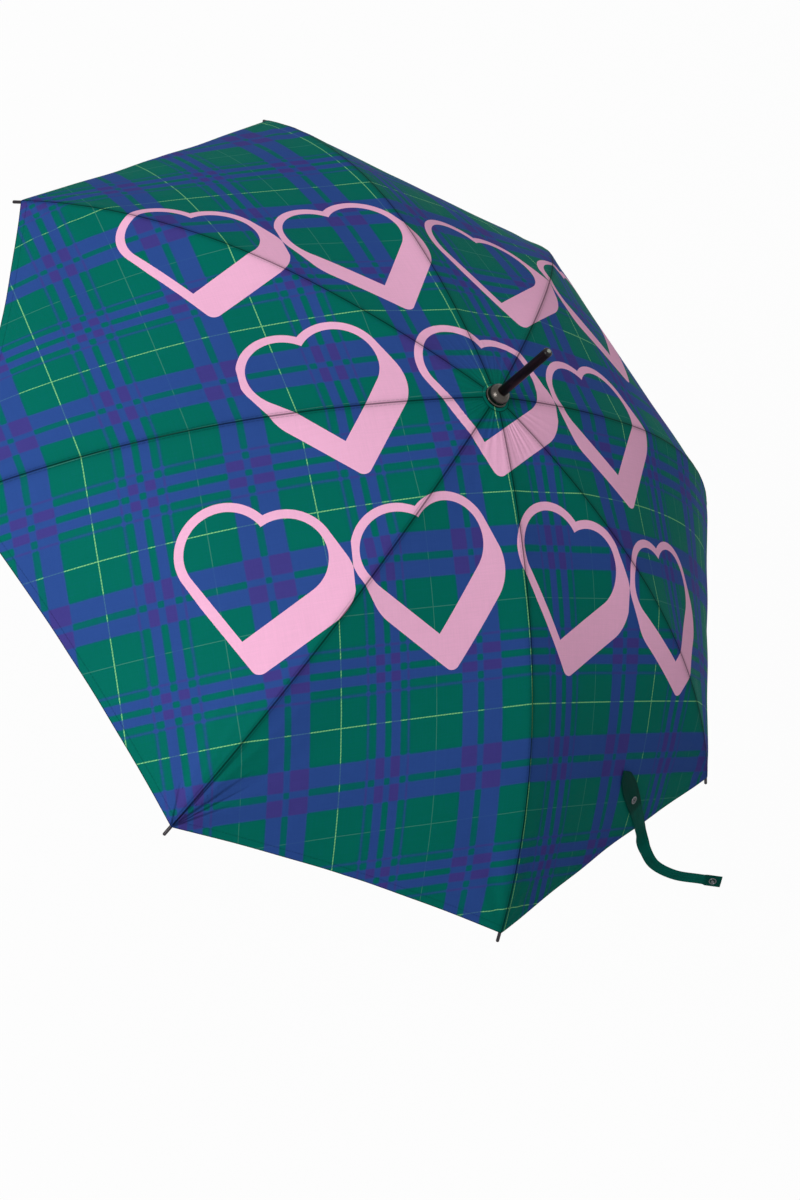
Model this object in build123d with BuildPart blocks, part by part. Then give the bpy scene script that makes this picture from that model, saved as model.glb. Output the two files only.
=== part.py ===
"""Stick umbrella, open: a manual eight-rib frame with a panelled canopy and a crook handle.

Millimetres. The origin is the centre of the straight grip, +Z runs up the shaft to the ferrule.
Rib k stands at 45 * k degrees about Z, and panel halves are named for the rib they hang on.
"""

from build123d import *
from math import acos, asin, atan, atan2, cos, degrees, hypot, radians, sin, sqrt, tan
import os

os.makedirs("parts", exist_ok=True)

# ---- canopy ----
rib_count = 8
apex_z = 673.5  # top of the cloth on the shaft axis, above the middle of the grip
canopy_radius = 516.0  # from the axis to a cloth corner
inner_slope = 5.8  # degrees below level where the cloth leaves the cap
inner_bend_radius = 1032.0
inner_bend_angle = 13.3
outer_bend_radius = 661.0
cloth = 0.6
hem_hollow = 5.0  # how far the hem bows in between two corners
cloth_hole_radius = 6.4
cloth_gap = 0.3  # between cloth and anything that is not sewn to it
section_past_hem = 4.0  # how far a panel is bent past its hem before the hem is cut
section_past_corner = 10.0
cloth_search_steps = 20
quarter_of_hollow = 0.75  # share of the hem's hollow a quarter of the way along it

# ---- shaft ----
shaft_radius = 5.0
shaft_wall = 0.8
press_clearance = 0.05
run_clearance = 0.1

# ---- ribs and stretchers ----
rib_radius = 1.5
rib_drop = 2.8  # from the outside of the cloth to the middle of a rib
tab = 1.2  # thickness of a flattened eye
tab_clearance = 0.3
eye_radius = 2.4
stretcher_eye_radius = 2.1
flat_inset = 0.3  # of a flattened neck, inside the round wire that it comes from
flat_reach = 1.5  # necks from the middle of an eye to the end of its flat
wire_radius = 0.5
wire_clearance = 0.08
rib_joint_at = 238.0  # along the cloth from the apex to a stretcher joint
stretcher_length = 270.0
stretcher_radius = 1.25
neck = 8.0  # from the middle of an eye to the start of the round wire
closed_tip_radius = 24.0

# ---- crown ----
crown_pivot_radius = 9.5
crown_pivot_drop = 8.4
crown_radius = 13.0
crown_height = 8.6
washer_thickness = 0.8
notch_chamfer = 1.0

# ---- runner ----
runner_pivot_radius = 10.0
runner_radius = 13.4
runner_notch_height = 8.6
sleeve_wall = 1.7
sleeve_below = 46.0  # from the stretcher pivots down to the end of the sleeve
sleeve_lip = 2.0
sleeve_lip_height = 5.0
sleeve_lip_round = 0.8
stop_pin_radius = 1.0
stop_pin_overhang = 2.6
stop_pin_chamfer = 0.3

# ---- catch springs ----
spring_length = 24.0
spring_width = 2.0
spring_thickness = 0.9
spring_reach = 2.4  # how far a catch stands out of the shaft
spring_nose = 1.6
spring_slope = 0.8  # share of a spring that slopes back into the shaft
spring_clearance = 0.3
closed_catch_below = 27.0  # from the stretcher pivots down to the closed catch, runner closed

# ---- rib fittings ----
clasp_length = 9.0
clasp_wall = 0.7
clasp_drop = 4.5  # from the middle of the rib down to the rivet
clasp_floor = 0.4  # of the clasp, between the rib and the slot for the stretcher
clasp_foot = 1.9
clasp_mouth = 0.9  # share of the bore that is open at the top
ear = 0.8
rivet_radius = 0.8
rivet_head_radius = 1.35
rivet_head = 0.5
cup_radius = 1.85
cup_overlap = 3.0
cup_past_cloth = 12.0
cup_rounding = 0.8  # share of its radius

# ---- cap and ferrule ----
cap_radius = 13.0
cap_brim = 2.2
cap_brim_rounding = 0.35  # share of the brim
cap_step = 0.6
cap_dome_radius = 11.9
cap_height = 13.0
cap_shoulder = (0.75, 0.68)  # shares of the dome's width and height
cap_neck_radius = 7.0
ferrule_base_radius = 5.7
ferrule_end_radius = 5.2
ferrule_taper_length = 57.0
ferrule_straight = 22.0
ferrule_round = 2.4
spigot_length = 32.0
insert_radius = 2.4
insert_depth = 8.0
insert_crown = 1.0
insert_rounding = 0.9  # share of the crown
ferrule_top = 96.5  # above the apex, without the insert's crown

# ---- handle ----
grip_length = 123.0
grip_radius = 10.0
crook_bend_radius = 38.0
crook_end_length = 24.0
crook_end_round = 7.0
socket_depth = 110.0
collar_radius = 11.2
collar_height = 12.0
collar_round = 2.0

# ---- closing strap, on the panel half before rib 6 ----
strap_rib = 6
strap_width = 13.0
strap_cloth = 1.0
strap_root = (16.3, -100.0)  # along the hem and down the slope, from the middle of the hem
strap_crossing = (57.0, 0.0)
# share of the patch's length, and its width there: a pointed root, then the plain strap
strap_root_shape = [(0.0, 5.0), (0.1, 17.0), (0.24, 23.0), (0.5, 21.0), (0.72, 17.0), (0.88, 13.0)]
strap_ease = 0.55  # more room between the patch and the bent cloth
strap_split = 1.6  # past the hem, where the free tail starts
strap_split_gap = 0.6
tail_points = [(61, 16, 4), (64, 30, 8), (73, 51, 18), (89, 64, 37), (107, 67, 60), (123, 69, 80)]
tail_turn_over = 2.0  # points from the hem over which the tail turns its face aside
tail_facing = (-0.78, 0.03, 0.62)
snap_radius = 4.2
snap_height = 1.4
snap_rounding = 0.4  # share of its height
snap_boss_radius = 2.0
snap_boss_height = 0.9
socket_from_hem = 57.0
stud_from_end = 10.0

half_sector = 180 / rib_count
panel_stretch = cos(radians(half_sector))


def cloth_line(length, drop=0.0):
    """Radius and height of the rib line at a length along it, set in by drop, and its slope."""
    start = radians(inner_slope)
    turn = radians(inner_bend_angle)
    inner_length = inner_bend_radius * turn
    slope = start + min(length, inner_length) / inner_bend_radius
    r = inner_bend_radius * (sin(slope) - sin(start))
    z = apex_z - inner_bend_radius * (cos(start) - cos(slope))
    if length > inner_length:
        knee = slope
        slope = knee + (length - inner_length) / outer_bend_radius
        r += outer_bend_radius * (sin(slope) - sin(knee))
        z -= outer_bend_radius * (cos(knee) - cos(slope))
    return r - drop * sin(slope), z - drop * cos(slope), slope


def length_at_radius(radius):
    """Length along the cloth line at which it reaches a radius."""
    start = radians(inner_slope)
    knee = start + radians(inner_bend_angle)
    knee_radius = inner_bend_radius * (sin(knee) - sin(start))
    if radius <= knee_radius:
        return inner_bend_radius * (asin(sin(start) + radius / inner_bend_radius) - start)
    slope = asin(sin(knee) + (radius - knee_radius) / outer_bend_radius)
    return inner_bend_radius * (knee - start) + outer_bend_radius * (slope - knee)


knee_length = inner_bend_radius * radians(inner_bend_angle)
cloth_length = length_at_radius(canopy_radius)


def bend_middle(bend_radius):
    """Middle of one of the two arcs of the cloth line, which meet at the knee."""
    r, z, slope = cloth_line(knee_length)
    return (r - bend_radius * sin(slope), z - bend_radius * cos(slope))


def turned(point, angle):
    """A point in the rib's plane, turned down about the crown pivot."""
    dr = point[0] - crown_pivot[0]
    dz = point[1] - crown_pivot[1]
    a = radians(angle)
    return (crown_pivot[0] + dr * cos(a) + dz * sin(a), crown_pivot[1] - dr * sin(a) + dz * cos(a))


def runner_pivot_under(joint):
    """Height of the runner's pivots when the stretchers hang from this joint."""
    return joint[1] - sqrt(stretcher_length**2 - (joint[0] - runner_pivot_radius) ** 2)


# ---- the linkage, worked out in the plane of one rib ----
crown_pivot = (crown_pivot_radius, apex_z - crown_pivot_drop)
joint_r, joint_z, joint_slope = cloth_line(rib_joint_at, rib_drop + clasp_drop)
joint_open = (joint_r, joint_z)
tip_r, tip_z, tip_slope = cloth_line(cloth_length, rib_drop)
tip_reach = hypot(tip_r - crown_pivot[0], tip_z - crown_pivot[1])
tip_down = degrees(atan2(crown_pivot[1] - tip_z, tip_r - crown_pivot[0]))
rib_fold = degrees(acos((closed_tip_radius - crown_pivot_radius) / tip_reach)) - tip_down
joint_closed = turned(joint_open, rib_fold)
runner_open_z = runner_pivot_under(joint_open)
runner_closed_z = runner_pivot_under(joint_closed)
runner_travel = runner_open_z - runner_closed_z
stretcher_open = degrees(asin((joint_open[0] - runner_pivot_radius) / stretcher_length))
stretcher_closed = degrees(asin((joint_closed[0] - runner_pivot_radius) / stretcher_length))

print("crown pivot", crown_pivot)
print("stretcher joint, open and closed", joint_open, joint_closed)
print("rib fold", rib_fold, "runner", runner_open_z, runner_closed_z, "travel", runner_travel)
print("stretcher from the shaft, open and closed", stretcher_open, stretcher_closed)


def rib_plane(rib):
    """Upright plane through the axis and rib k: x runs out from the axis, y runs up."""
    a = radians(rib * 2 * half_sector)
    return Plane(origin=(0, 0, 0), x_dir=(cos(a), sin(a), 0), z_dir=(sin(a), -cos(a), 0))


def keep(piece, name):
    """Label a finished piece and write it to its own file."""
    piece.part.label = name
    export_step(piece.part, f"parts/{name}.step")


# ---- canopy: each panel is bent one way only, so it is a strip bent along the slope ----
def panel_section(length, drop):
    """A point of the panel's middle section: the rib line, pulled in to the panel's middle."""
    r, z, slope = cloth_line(length)
    middle_slope = atan(tan(slope) / panel_stretch)
    return (r * panel_stretch - drop * sin(middle_slope), z - drop * cos(middle_slope))


def section_arcs(drop, backwards=False):
    """The two arcs of a panel's section, from inside the hole to past the hem."""
    end = cloth_length + section_past_hem
    stops = [0.0, knee_length / 2, knee_length, (knee_length + end) / 2, end]
    if backwards:
        stops.reverse()
    points = [panel_section(stop, drop) for stop in stops]
    ThreePointArc(*points[0:3])
    ThreePointArc(*points[2:5])
    return points[0], points[4]


def half_panel(rib, side):
    """Cloth from rib k to the middle of the panel before it (side -1) or after it (side +1)."""
    middle = radians(rib * 2 * half_sector + side * half_sector)
    out = (cos(middle), sin(middle), 0)
    section_plane = Plane(origin=(0, 0, 0), x_dir=out, z_dir=(sin(middle), -cos(middle), 0))
    seam_dir = radians(rib * 2 * half_sector)
    along = (cos(seam_dir), sin(seam_dir))
    across = (-sin(seam_dir) * side, cos(seam_dir) * side)
    half_gap = cloth_gap / 2

    def spot(x, y):
        """A plan point x out along the rib and y away from it, towards this panel."""
        return (along[0] * x + across[0] * y, along[1] * x + across[1] * y)

    edge = canopy_radius * panel_stretch  # from the axis to the straight hem
    tilt = radians(half_sector)

    def off_middle(distance, back):
        """Plan point on the panel's middle line, moved back towards the rib."""
        return spot(
            distance * cos(tilt) + back * sin(tilt), distance * sin(tilt) - back * cos(tilt)
        )

    half_hem = canopy_radius * sin(tilt)
    quarter_hollow = hem_hollow * quarter_of_hollow
    corner = spot(canopy_radius, half_gap)
    quarter = off_middle(edge - quarter_hollow, half_hem / 2)
    middle_hem = off_middle(edge - hem_hollow, half_gap)
    with BuildPart() as piece:
        with BuildSketch(section_plane):
            with BuildLine():
                top_start, top_end = section_arcs(0.0)
                low_end, low_start = section_arcs(cloth, backwards=True)
                Line(top_end, low_end)
                Line(low_start, top_start)
            make_face()
        extrude(amount=half_hem + section_past_corner, both=True)
        with BuildSketch(Plane.XY):
            with BuildLine():
                ThreePointArc(corner, quarter, middle_hem)
                Line(middle_hem, off_middle(cloth_hole_radius, half_gap))
                Line(off_middle(cloth_hole_radius, half_gap), spot(cloth_hole_radius, half_gap))
                Line(spot(cloth_hole_radius, half_gap), corner)
            make_face()
        extrude(amount=apex_z + ferrule_top, mode=Mode.INTERSECT)
    return piece


# ---- ribs, their fittings and the stretchers ----
def rib_rod(rib):
    """Round steel rib with a flattened eye at the crown."""
    rod_start = length_at_radius(crown_pivot_radius + neck)
    rod_end = cloth_length + cup_overlap
    bends = [(rod_start, knee_length, inner_bend_radius), (knee_length, rod_end, outer_bend_radius)]
    plane = rib_plane(rib)
    with BuildPart() as piece:
        for start, end, bend_radius in bends:
            r, z, slope = cloth_line(start, rib_drop)
            heading = plane.x_dir * cos(slope) - Vector(0, 0, 1) * sin(slope)
            with BuildSketch(Plane(origin=plane.from_local_coords((r, z, 0)), z_dir=heading)):
                Circle(rib_radius)
            middle = plane.from_local_coords(bend_middle(bend_radius) + (0,))
            turn = cloth_line(end)[2] - slope
            revolve(axis=Axis(middle, -plane.z_dir), revolution_arc=degrees(turn))
        overlap = cloth_line(rod_start + neck / 2, rib_drop)[:2]
        with BuildSketch(plane):
            with Locations(crown_pivot):
                Circle(eye_radius)
            with Locations(overlap):
                Circle(rib_radius - flat_inset)
            make_hull()
            with Locations(crown_pivot):
                Circle(wire_radius + wire_clearance, mode=Mode.SUBTRACT)
        extrude(amount=tab / 2, both=True)
    return piece


def rib_fitting(rib):
    """Clasp with its rivet at the stretcher joint, and the cup on the rib's end: two solids."""
    r, z, slope = cloth_line(rib_joint_at, rib_drop)
    plane = rib_plane(rib)
    clasp_plane = Plane(
        origin=plane.from_local_coords((r, z, 0)),
        x_dir=plane.x_dir * cos(slope) - Vector(0, 0, 1) * sin(slope),
        z_dir=plane.z_dir,
    )
    wall = rib_radius + press_clearance + clasp_wall
    half_slot = tab / 2 + tab_clearance
    half_ears = half_slot + ear
    hole = rib_radius + press_clearance
    top = rib_drop - cloth - 2 * cloth_gap
    with BuildPart() as clasp:
        with BuildSketch(clasp_plane):
            with BuildLine():
                Polyline(
                    (-clasp_length / 2, top),
                    (clasp_length / 2, top),
                    (clasp_length / 2, -hole - clasp_wall),
                    (clasp_foot, -clasp_drop - clasp_foot),
                    (-clasp_foot, -clasp_drop - clasp_foot),
                    (-clasp_length / 2, -hole - clasp_wall),
                    close=True,
                )
            make_face()
        extrude(amount=max(wall, half_ears), both=True)
        along = Plane(origin=clasp_plane.origin, z_dir=clasp_plane.x_dir)
        with BuildSketch(along):
            Circle(hole)
        extrude(amount=clasp_length, both=True, mode=Mode.SUBTRACT)
        with BuildSketch(clasp_plane):
            with Locations((0, rib_drop)):
                Rectangle(2 * clasp_length, 2 * rib_drop)
        extrude(amount=hole * clasp_mouth, both=True, mode=Mode.SUBTRACT)
        with BuildSketch(clasp_plane):
            with Locations((0, -hole - clasp_floor - clasp_drop)):
                Rectangle(2 * clasp_length, 2 * clasp_drop)
        extrude(amount=half_slot, both=True, mode=Mode.SUBTRACT)
        with BuildSketch(clasp_plane):
            with Locations((0, -clasp_drop)):
                Circle(rivet_radius)
        extrude(amount=2 * half_ears, both=True, mode=Mode.SUBTRACT)
    half_clasp = max(wall, half_ears)
    with BuildPart() as rivet:
        with BuildSketch(clasp_plane):
            with Locations((0, -clasp_drop)):
                Circle(rivet_radius)
        extrude(amount=half_clasp, both=True)
        for face_offset, direction in ((half_clasp, 1), (-half_clasp, -1)):
            with BuildSketch(clasp_plane.offset(face_offset)):
                with Locations((0, -clasp_drop)):
                    Circle(rivet_head_radius)
            extrude(amount=rivet_head * direction)
    start_r, start_z, start_slope = cloth_line(cloth_length - cup_overlap, rib_drop)
    heading = plane.x_dir * cos(start_slope) - Vector(0, 0, 1) * sin(start_slope)
    cup_plane = Plane(origin=plane.from_local_coords((start_r, start_z, 0)), z_dir=heading)
    cup_length = cup_overlap + cup_past_cloth
    cup_round = cup_radius * cup_rounding
    with BuildPart() as cup:
        with BuildSketch(cup_plane):
            Circle(cup_radius)
        extrude(amount=cup_length)
        fillet(cup.faces().sort_by(Axis(cup_plane.origin, heading))[-1].edges(), cup_round)
        with BuildSketch(cup_plane):
            Circle(rib_radius + press_clearance)
        extrude(amount=2 * cup_overlap + run_clearance, mode=Mode.SUBTRACT)
    with BuildPart() as piece:
        add(clasp.part)
        add(rivet.part)
        add(cup.part)
    return piece


def stretcher(rib):
    """Round wire from the runner to the rib, with a flattened eye at each end."""
    plane = rib_plane(rib)
    foot = (runner_pivot_radius, runner_open_z)
    lean = radians(stretcher_open)
    way = (sin(lean), cos(lean))
    start = (foot[0] + way[0] * neck, foot[1] + way[1] * neck)
    heading = plane.x_dir * way[0] + Vector(0, 0, 1) * way[1]
    with BuildPart() as piece:
        with BuildSketch(Plane(origin=plane.from_local_coords(start + (0,)), z_dir=heading)):
            Circle(stretcher_radius)
        extrude(amount=stretcher_length - 2 * neck)
        for eye, side in ((foot, 1), (joint_open, -1)):
            reach = neck * flat_reach * side
            with BuildSketch(plane):
                with Locations(eye):
                    Circle(stretcher_eye_radius)
                with Locations((eye[0] + way[0] * reach, eye[1] + way[1] * reach)):
                    Circle(stretcher_radius - flat_inset)
                make_hull()
                with Locations(eye):
                    Circle(rivet_radius + wire_clearance, mode=Mode.SUBTRACT)
            extrude(amount=tab / 2, both=True)
    return piece


for rib in range(1, rib_count + 1):
    keep(half_panel(rib, -1), f"panel_{rib}_before")
    keep(half_panel(rib, 1), f"panel_{rib}_after")
    keep(rib_rod(rib), f"rib_{rib}")
    keep(rib_fitting(rib), f"rib_{rib}_fittings")
    keep(stretcher(rib), f"stretcher_{rib}")

# ---- crown: slotted notch, its wire and a washer under the cloth ----
crown_top = crown_pivot[1] + crown_height / 2
slot_width = tab + 2 * tab_clearance
crown_slot_start = crown_pivot_radius - eye_radius - tab_clearance
with BuildPart() as crown_notch:
    with BuildSketch(Plane.XY.offset(crown_top - crown_height)):
        Circle(crown_radius)
        Circle(shaft_radius + press_clearance, mode=Mode.SUBTRACT)
    extrude(amount=crown_height)
    chamfer(crown_notch.faces().sort_by(Axis.Z)[0].outer_wire().edges(), notch_chamfer)
    with BuildSketch(Plane.XY.offset(crown_top - crown_height)):
        with PolarLocations(0, rib_count):
            with Locations((crown_slot_start + crown_radius, 0)):
                Rectangle(2 * crown_radius, slot_width)
    extrude(amount=crown_height, mode=Mode.SUBTRACT)
    with Locations((0, 0, crown_pivot[1])):
        Torus(crown_pivot_radius, wire_radius + press_clearance, mode=Mode.SUBTRACT)
keep(crown_notch, "crown_notch")

with BuildPart() as crown_wire:
    with Locations((0, 0, crown_pivot[1])):
        Torus(crown_pivot_radius, wire_radius)
keep(crown_wire, "crown_wire")

with BuildPart() as crown_washer:
    with BuildSketch(Plane.XY.offset(crown_top)):
        Circle(crown_radius)
        Circle(shaft_radius + press_clearance, mode=Mode.SUBTRACT)
    extrude(amount=washer_thickness)
keep(crown_washer, "crown_washer")

# ---- runner: sleeve with a slotted notch, held by wire in the notch's teeth ----
sleeve_bore = shaft_radius + run_clearance
sleeve_radius = sleeve_bore + sleeve_wall
sleeve_bottom = runner_open_z - sleeve_below
notch_bottom = runner_open_z - runner_notch_height / 2
window_width = spring_width + 2 * spring_clearance
catch_window_bottom = runner_open_z - closed_catch_below - spring_clearance
catch_window_height = spring_length * spring_slope + 2 * spring_clearance
with BuildPart() as runner_sleeve:
    with BuildSketch(Plane.XY.offset(sleeve_bottom)):
        Circle(sleeve_radius)
    extrude(amount=sleeve_below + runner_notch_height / 2)
    with BuildSketch(Plane.XY.offset(sleeve_bottom)):
        Circle(sleeve_radius + sleeve_lip)
    extrude(amount=sleeve_lip_height)
    lip_rings = runner_sleeve.edges().filter_by(GeomType.CIRCLE).group_by(SortBy.RADIUS)[-1]
    fillet(lip_rings, sleeve_lip_round)
    with BuildSketch(Plane.XY.offset(sleeve_bottom)):
        Circle(sleeve_bore)
    extrude(amount=sleeve_below + runner_notch_height, mode=Mode.SUBTRACT)
    with BuildSketch(Plane.YZ):
        with Locations((0, catch_window_bottom)):
            Rectangle(window_width, catch_window_height, align=(Align.CENTER, Align.MIN))
    extrude(amount=2 * sleeve_radius, mode=Mode.SUBTRACT)
keep(runner_sleeve, "runner_sleeve")

foot_slot_start = runner_pivot_radius - eye_radius
with BuildPart() as runner_notch:
    with BuildSketch(Plane.XY.offset(notch_bottom)):
        Circle(runner_radius)
        Circle(sleeve_radius + press_clearance, mode=Mode.SUBTRACT)
    extrude(amount=runner_notch_height)
    chamfer(runner_notch.faces().sort_by(Axis.Z)[0].outer_wire().edges(), notch_chamfer)
    with BuildSketch(Plane.XY.offset(notch_bottom)):
        with PolarLocations(0, rib_count):
            with Locations((foot_slot_start + runner_radius, 0)):
                Rectangle(2 * runner_radius, slot_width)
    extrude(amount=runner_notch_height, mode=Mode.SUBTRACT)
    with Locations((0, 0, runner_open_z)):
        Torus(runner_pivot_radius, wire_radius + press_clearance, mode=Mode.SUBTRACT)
keep(runner_notch, "runner_notch")

with BuildPart() as runner_wire:
    with Locations((0, 0, runner_open_z)):
        Torus(runner_pivot_radius, wire_radius)
    with BuildSketch(Plane.XY.offset(notch_bottom)):
        with PolarLocations(0, rib_count):
            with Locations((foot_slot_start + runner_radius, 0)):
                Rectangle(2 * runner_radius, slot_width)
    extrude(amount=runner_notch_height, mode=Mode.SUBTRACT)
keep(runner_wire, "runner_wire")

# ---- catch springs, and the shaft with their windows ----
open_catch_z = sleeve_bottom - spring_clearance
closed_catch_z = runner_closed_z - closed_catch_below
spring_back = shaft_radius - shaft_wall - spring_thickness
spring_face = spring_back + spring_thickness
nose_reach = shaft_radius + spring_reach


def catch_spring(catch_z, up):
    """Flat spring whose nose stands out at catch_z and whose fixed end lies up or down from it."""
    with BuildPart() as piece:
        with BuildSketch(Plane.XZ):
            with BuildLine():
                Polyline(
                    (spring_back, catch_z),
                    (nose_reach, catch_z),
                    (nose_reach, catch_z + up * spring_nose),
                    (spring_face, catch_z + up * spring_length * spring_slope),
                    (spring_face, catch_z + up * spring_length),
                    (spring_back, catch_z + up * spring_length),
                    close=True,
                )
            make_face()
        extrude(amount=spring_width / 2, both=True)
    return piece


keep(catch_spring(open_catch_z, -1), "open_catch")
keep(catch_spring(closed_catch_z, 1), "closed_catch")

handle_top = grip_length / 2
shaft_bottom = handle_top - socket_depth
shaft_top = apex_z + cap_height
stop_pin_z = runner_open_z + runner_notch_height / 2 + spring_clearance + stop_pin_radius
window_height = spring_length + 2 * spring_clearance
window_spots = [(0, open_catch_z - spring_length / 2), (0, closed_catch_z + spring_length / 2)]
pin_angle = radians(half_sector)
pin_way = Vector(cos(pin_angle), sin(pin_angle), 0)
pin_half = shaft_radius + stop_pin_overhang
with BuildPart() as shaft:
    with BuildSketch(Plane.XY.offset(shaft_bottom)):
        Circle(shaft_radius)
        Circle(shaft_radius - shaft_wall, mode=Mode.SUBTRACT)
    extrude(amount=shaft_top - shaft_bottom)
    with BuildSketch(Plane.YZ):
        with Locations(*window_spots):
            Rectangle(window_width, window_height)
    extrude(amount=2 * shaft_radius, mode=Mode.SUBTRACT)
    with BuildSketch(Plane(origin=(0, 0, stop_pin_z), z_dir=pin_way)):
        Circle(stop_pin_radius + press_clearance)
    extrude(amount=pin_half, both=True, mode=Mode.SUBTRACT)
keep(shaft, "shaft")

with BuildPart() as stop_pin:
    with BuildSketch(Plane(origin=(0, 0, stop_pin_z), z_dir=pin_way)):
        Circle(stop_pin_radius)
    extrude(amount=pin_half, both=True)
    chamfer(stop_pin.edges().filter_by(GeomType.CIRCLE), stop_pin_chamfer)
keep(stop_pin, "stop_pin")

# ---- cap and ferrule ----
brim_z = cloth_line(length_at_radius(cap_radius))[1]
bore_z = cloth_line(length_at_radius(shaft_radius))[1]
cap_top = apex_z + cap_height
cap_bore = shaft_radius + press_clearance
brim_low = (cap_radius, brim_z + cloth_gap)
brim_top = (cap_radius, brim_low[1] + cap_brim)
dome_foot = (cap_dome_radius, brim_top[1] + cap_step)
neck_foot = (cap_neck_radius, cap_top)
dome_width = cap_dome_radius - cap_neck_radius
dome_height = cap_top - dome_foot[1]
shoulder_r = cap_neck_radius + dome_width * cap_shoulder[0]
shoulder_z = dome_foot[1] + dome_height * cap_shoulder[1]
with BuildPart() as cap:
    with BuildSketch(Plane.XZ):
        with BuildLine():
            Polyline(
                neck_foot,
                (cap_bore, cap_top),
                (cap_bore, bore_z + cloth_gap),
                brim_low,
                brim_top,
                dome_foot,
            )
            ThreePointArc(dome_foot, (shoulder_r, shoulder_z), neck_foot)
        make_face()
    revolve(axis=Axis.Z)
    brim_rings = cap.edges().filter_by(GeomType.CIRCLE).group_by(SortBy.RADIUS)[-1]
    fillet(brim_rings.sort_by(Axis.Z)[-1], cap_brim * cap_brim_rounding)
keep(cap, "cap")

ferrule_end = apex_z + ferrule_top
straight_start = ferrule_end - ferrule_round - ferrule_straight
with BuildPart() as ferrule:
    with BuildSketch(Plane.XZ):
        with BuildLine():
            Polyline(
                (0, cap_top - spigot_length),
                (shaft_radius - shaft_wall - press_clearance, cap_top - spigot_length),
                (shaft_radius - shaft_wall - press_clearance, cap_top),
                (ferrule_base_radius, cap_top),
                (ferrule_end_radius, straight_start),
                (ferrule_end_radius, ferrule_end),
                (0, ferrule_end),
                close=True,
            )
        make_face()
    revolve(axis=Axis.Z)
    fillet(ferrule.faces().sort_by(Axis.Z)[-1].edges(), ferrule_round)
    with BuildSketch(Plane.XY.offset(ferrule_end)):
        Circle(insert_radius)
    extrude(amount=-insert_depth, mode=Mode.SUBTRACT)
keep(ferrule, "ferrule")

with BuildPart() as ferrule_insert:
    with BuildSketch(Plane.XY.offset(ferrule_end - insert_depth)):
        Circle(insert_radius)
    extrude(amount=insert_depth + insert_crown)
    insert_top = ferrule_insert.faces().sort_by(Axis.Z)[-1]
    fillet(insert_top.edges(), insert_crown * insert_rounding)
keep(ferrule_insert, "ferrule_insert")

# ---- handle ----
grip_bottom = -grip_length / 2
with BuildPart() as handle_collar:
    with BuildSketch(Plane.XY.offset(handle_top)):
        Circle(collar_radius)
    extrude(amount=collar_height)
    fillet(handle_collar.faces().sort_by(Axis.Z)[-1].edges(), collar_round)
    with BuildSketch(Plane.XY.offset(handle_top)):
        Circle(shaft_radius + press_clearance)
    extrude(amount=collar_height, mode=Mode.SUBTRACT)
keep(handle_collar, "handle_collar")

crook_low = (crook_bend_radius, grip_bottom - crook_bend_radius)
crook_foot = (2 * crook_bend_radius, grip_bottom)
crook_tip = (crook_foot[0], grip_bottom + crook_end_length)
with BuildPart() as handle:
    with BuildLine(Plane.XZ) as crook:
        Line((0, handle_top), (0, grip_bottom))
        ThreePointArc((0, grip_bottom), crook_low, crook_foot)
        Line(crook_foot, crook_tip)
    with BuildSketch(Plane.XY.offset(handle_top)):
        Circle(grip_radius)
    sweep(path=crook.line)
    crook_end = handle.faces().filter_by(GeomType.PLANE).sort_by(Axis.X)[-1]
    fillet(crook_end.edges(), crook_end_round)
    with BuildSketch(Plane.XY.offset(handle_top)):
        Circle(shaft_radius + press_clearance)
    extrude(amount=-socket_depth, mode=Mode.SUBTRACT)
keep(handle, "handle")

# ---- closing strap: a sewn patch up to the hem, and a free tail that turns aside ----
strap_middle = radians((strap_rib - 0.5) * 2 * half_sector)
hem_out = canopy_radius * panel_stretch
hem_drop = cloth_line(cloth_length)[1]
hem_slope = atan(tan(tip_slope) / panel_stretch)
hem_frame = Plane(
    origin=(cos(strap_middle) * hem_out, sin(strap_middle) * hem_out, hem_drop),
    x_dir=(-sin(strap_middle), cos(strap_middle), 0),
    z_dir=(cos(strap_middle) * sin(hem_slope), sin(strap_middle) * sin(hem_slope), cos(hem_slope)),
)
down_sign = 1 if hem_frame.y_dir.Z < 0 else -1


def on_hem(along, down, out):
    """A point from the middle of the hem: along it, down the slope, and out of the cloth."""
    return hem_frame.from_local_coords((along, down * down_sign, out))


def on_cloth(along, down, out):
    """A point over the bent cloth, in line with a point of the hem's flat plane, and its slope."""
    flat_r = hem_out + down * cos(hem_slope)
    flat_z = hem_drop - down * sin(hem_slope)
    rise = 0.0
    for _ in range(cloth_search_steps):
        reach = (flat_r + rise * sin(hem_slope)) / panel_stretch
        _, cloth_z, slope = cloth_line(length_at_radius(reach))
        rise += (cloth_z - flat_z) - rise * cos(hem_slope)
    local_slope = atan(tan(slope) / panel_stretch)
    return on_hem(along, down, rise + out), local_slope


lift = cloth_gap + strap_cloth / 2
patch_run = (strap_crossing[0] - strap_root[0], strap_crossing[1] - strap_root[1])
patch_length = hypot(*patch_run)
patch_way = on_hem(*strap_crossing, 0) - on_hem(*strap_root, 0)
past = strap_split / patch_length
patch_end = on_hem(strap_crossing[0] + patch_run[0] * past, strap_split, lift)
patch_side = patch_way.normalized().cross(hem_frame.z_dir)
patch_line = []
for share, width in strap_root_shape:
    along = strap_root[0] + patch_run[0] * share
    down = strap_root[1] + patch_run[1] * share
    patch_line.append((on_cloth(along, down, lift + strap_ease)[0], width))
patch_line.append((patch_end, strap_width))
with BuildPart() as strap_patch:
    for index, (point, width) in enumerate(patch_line):
        before = patch_line[max(index - 1, 0)][0]
        after = patch_line[min(index + 1, len(patch_line) - 1)][0]
        way = (after - before).normalized()
        with BuildSketch(Plane(origin=point, x_dir=patch_side, z_dir=way)):
            Rectangle(width, strap_cloth)
    loft(ruled=True)
keep(strap_patch, "strap_patch")

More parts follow.
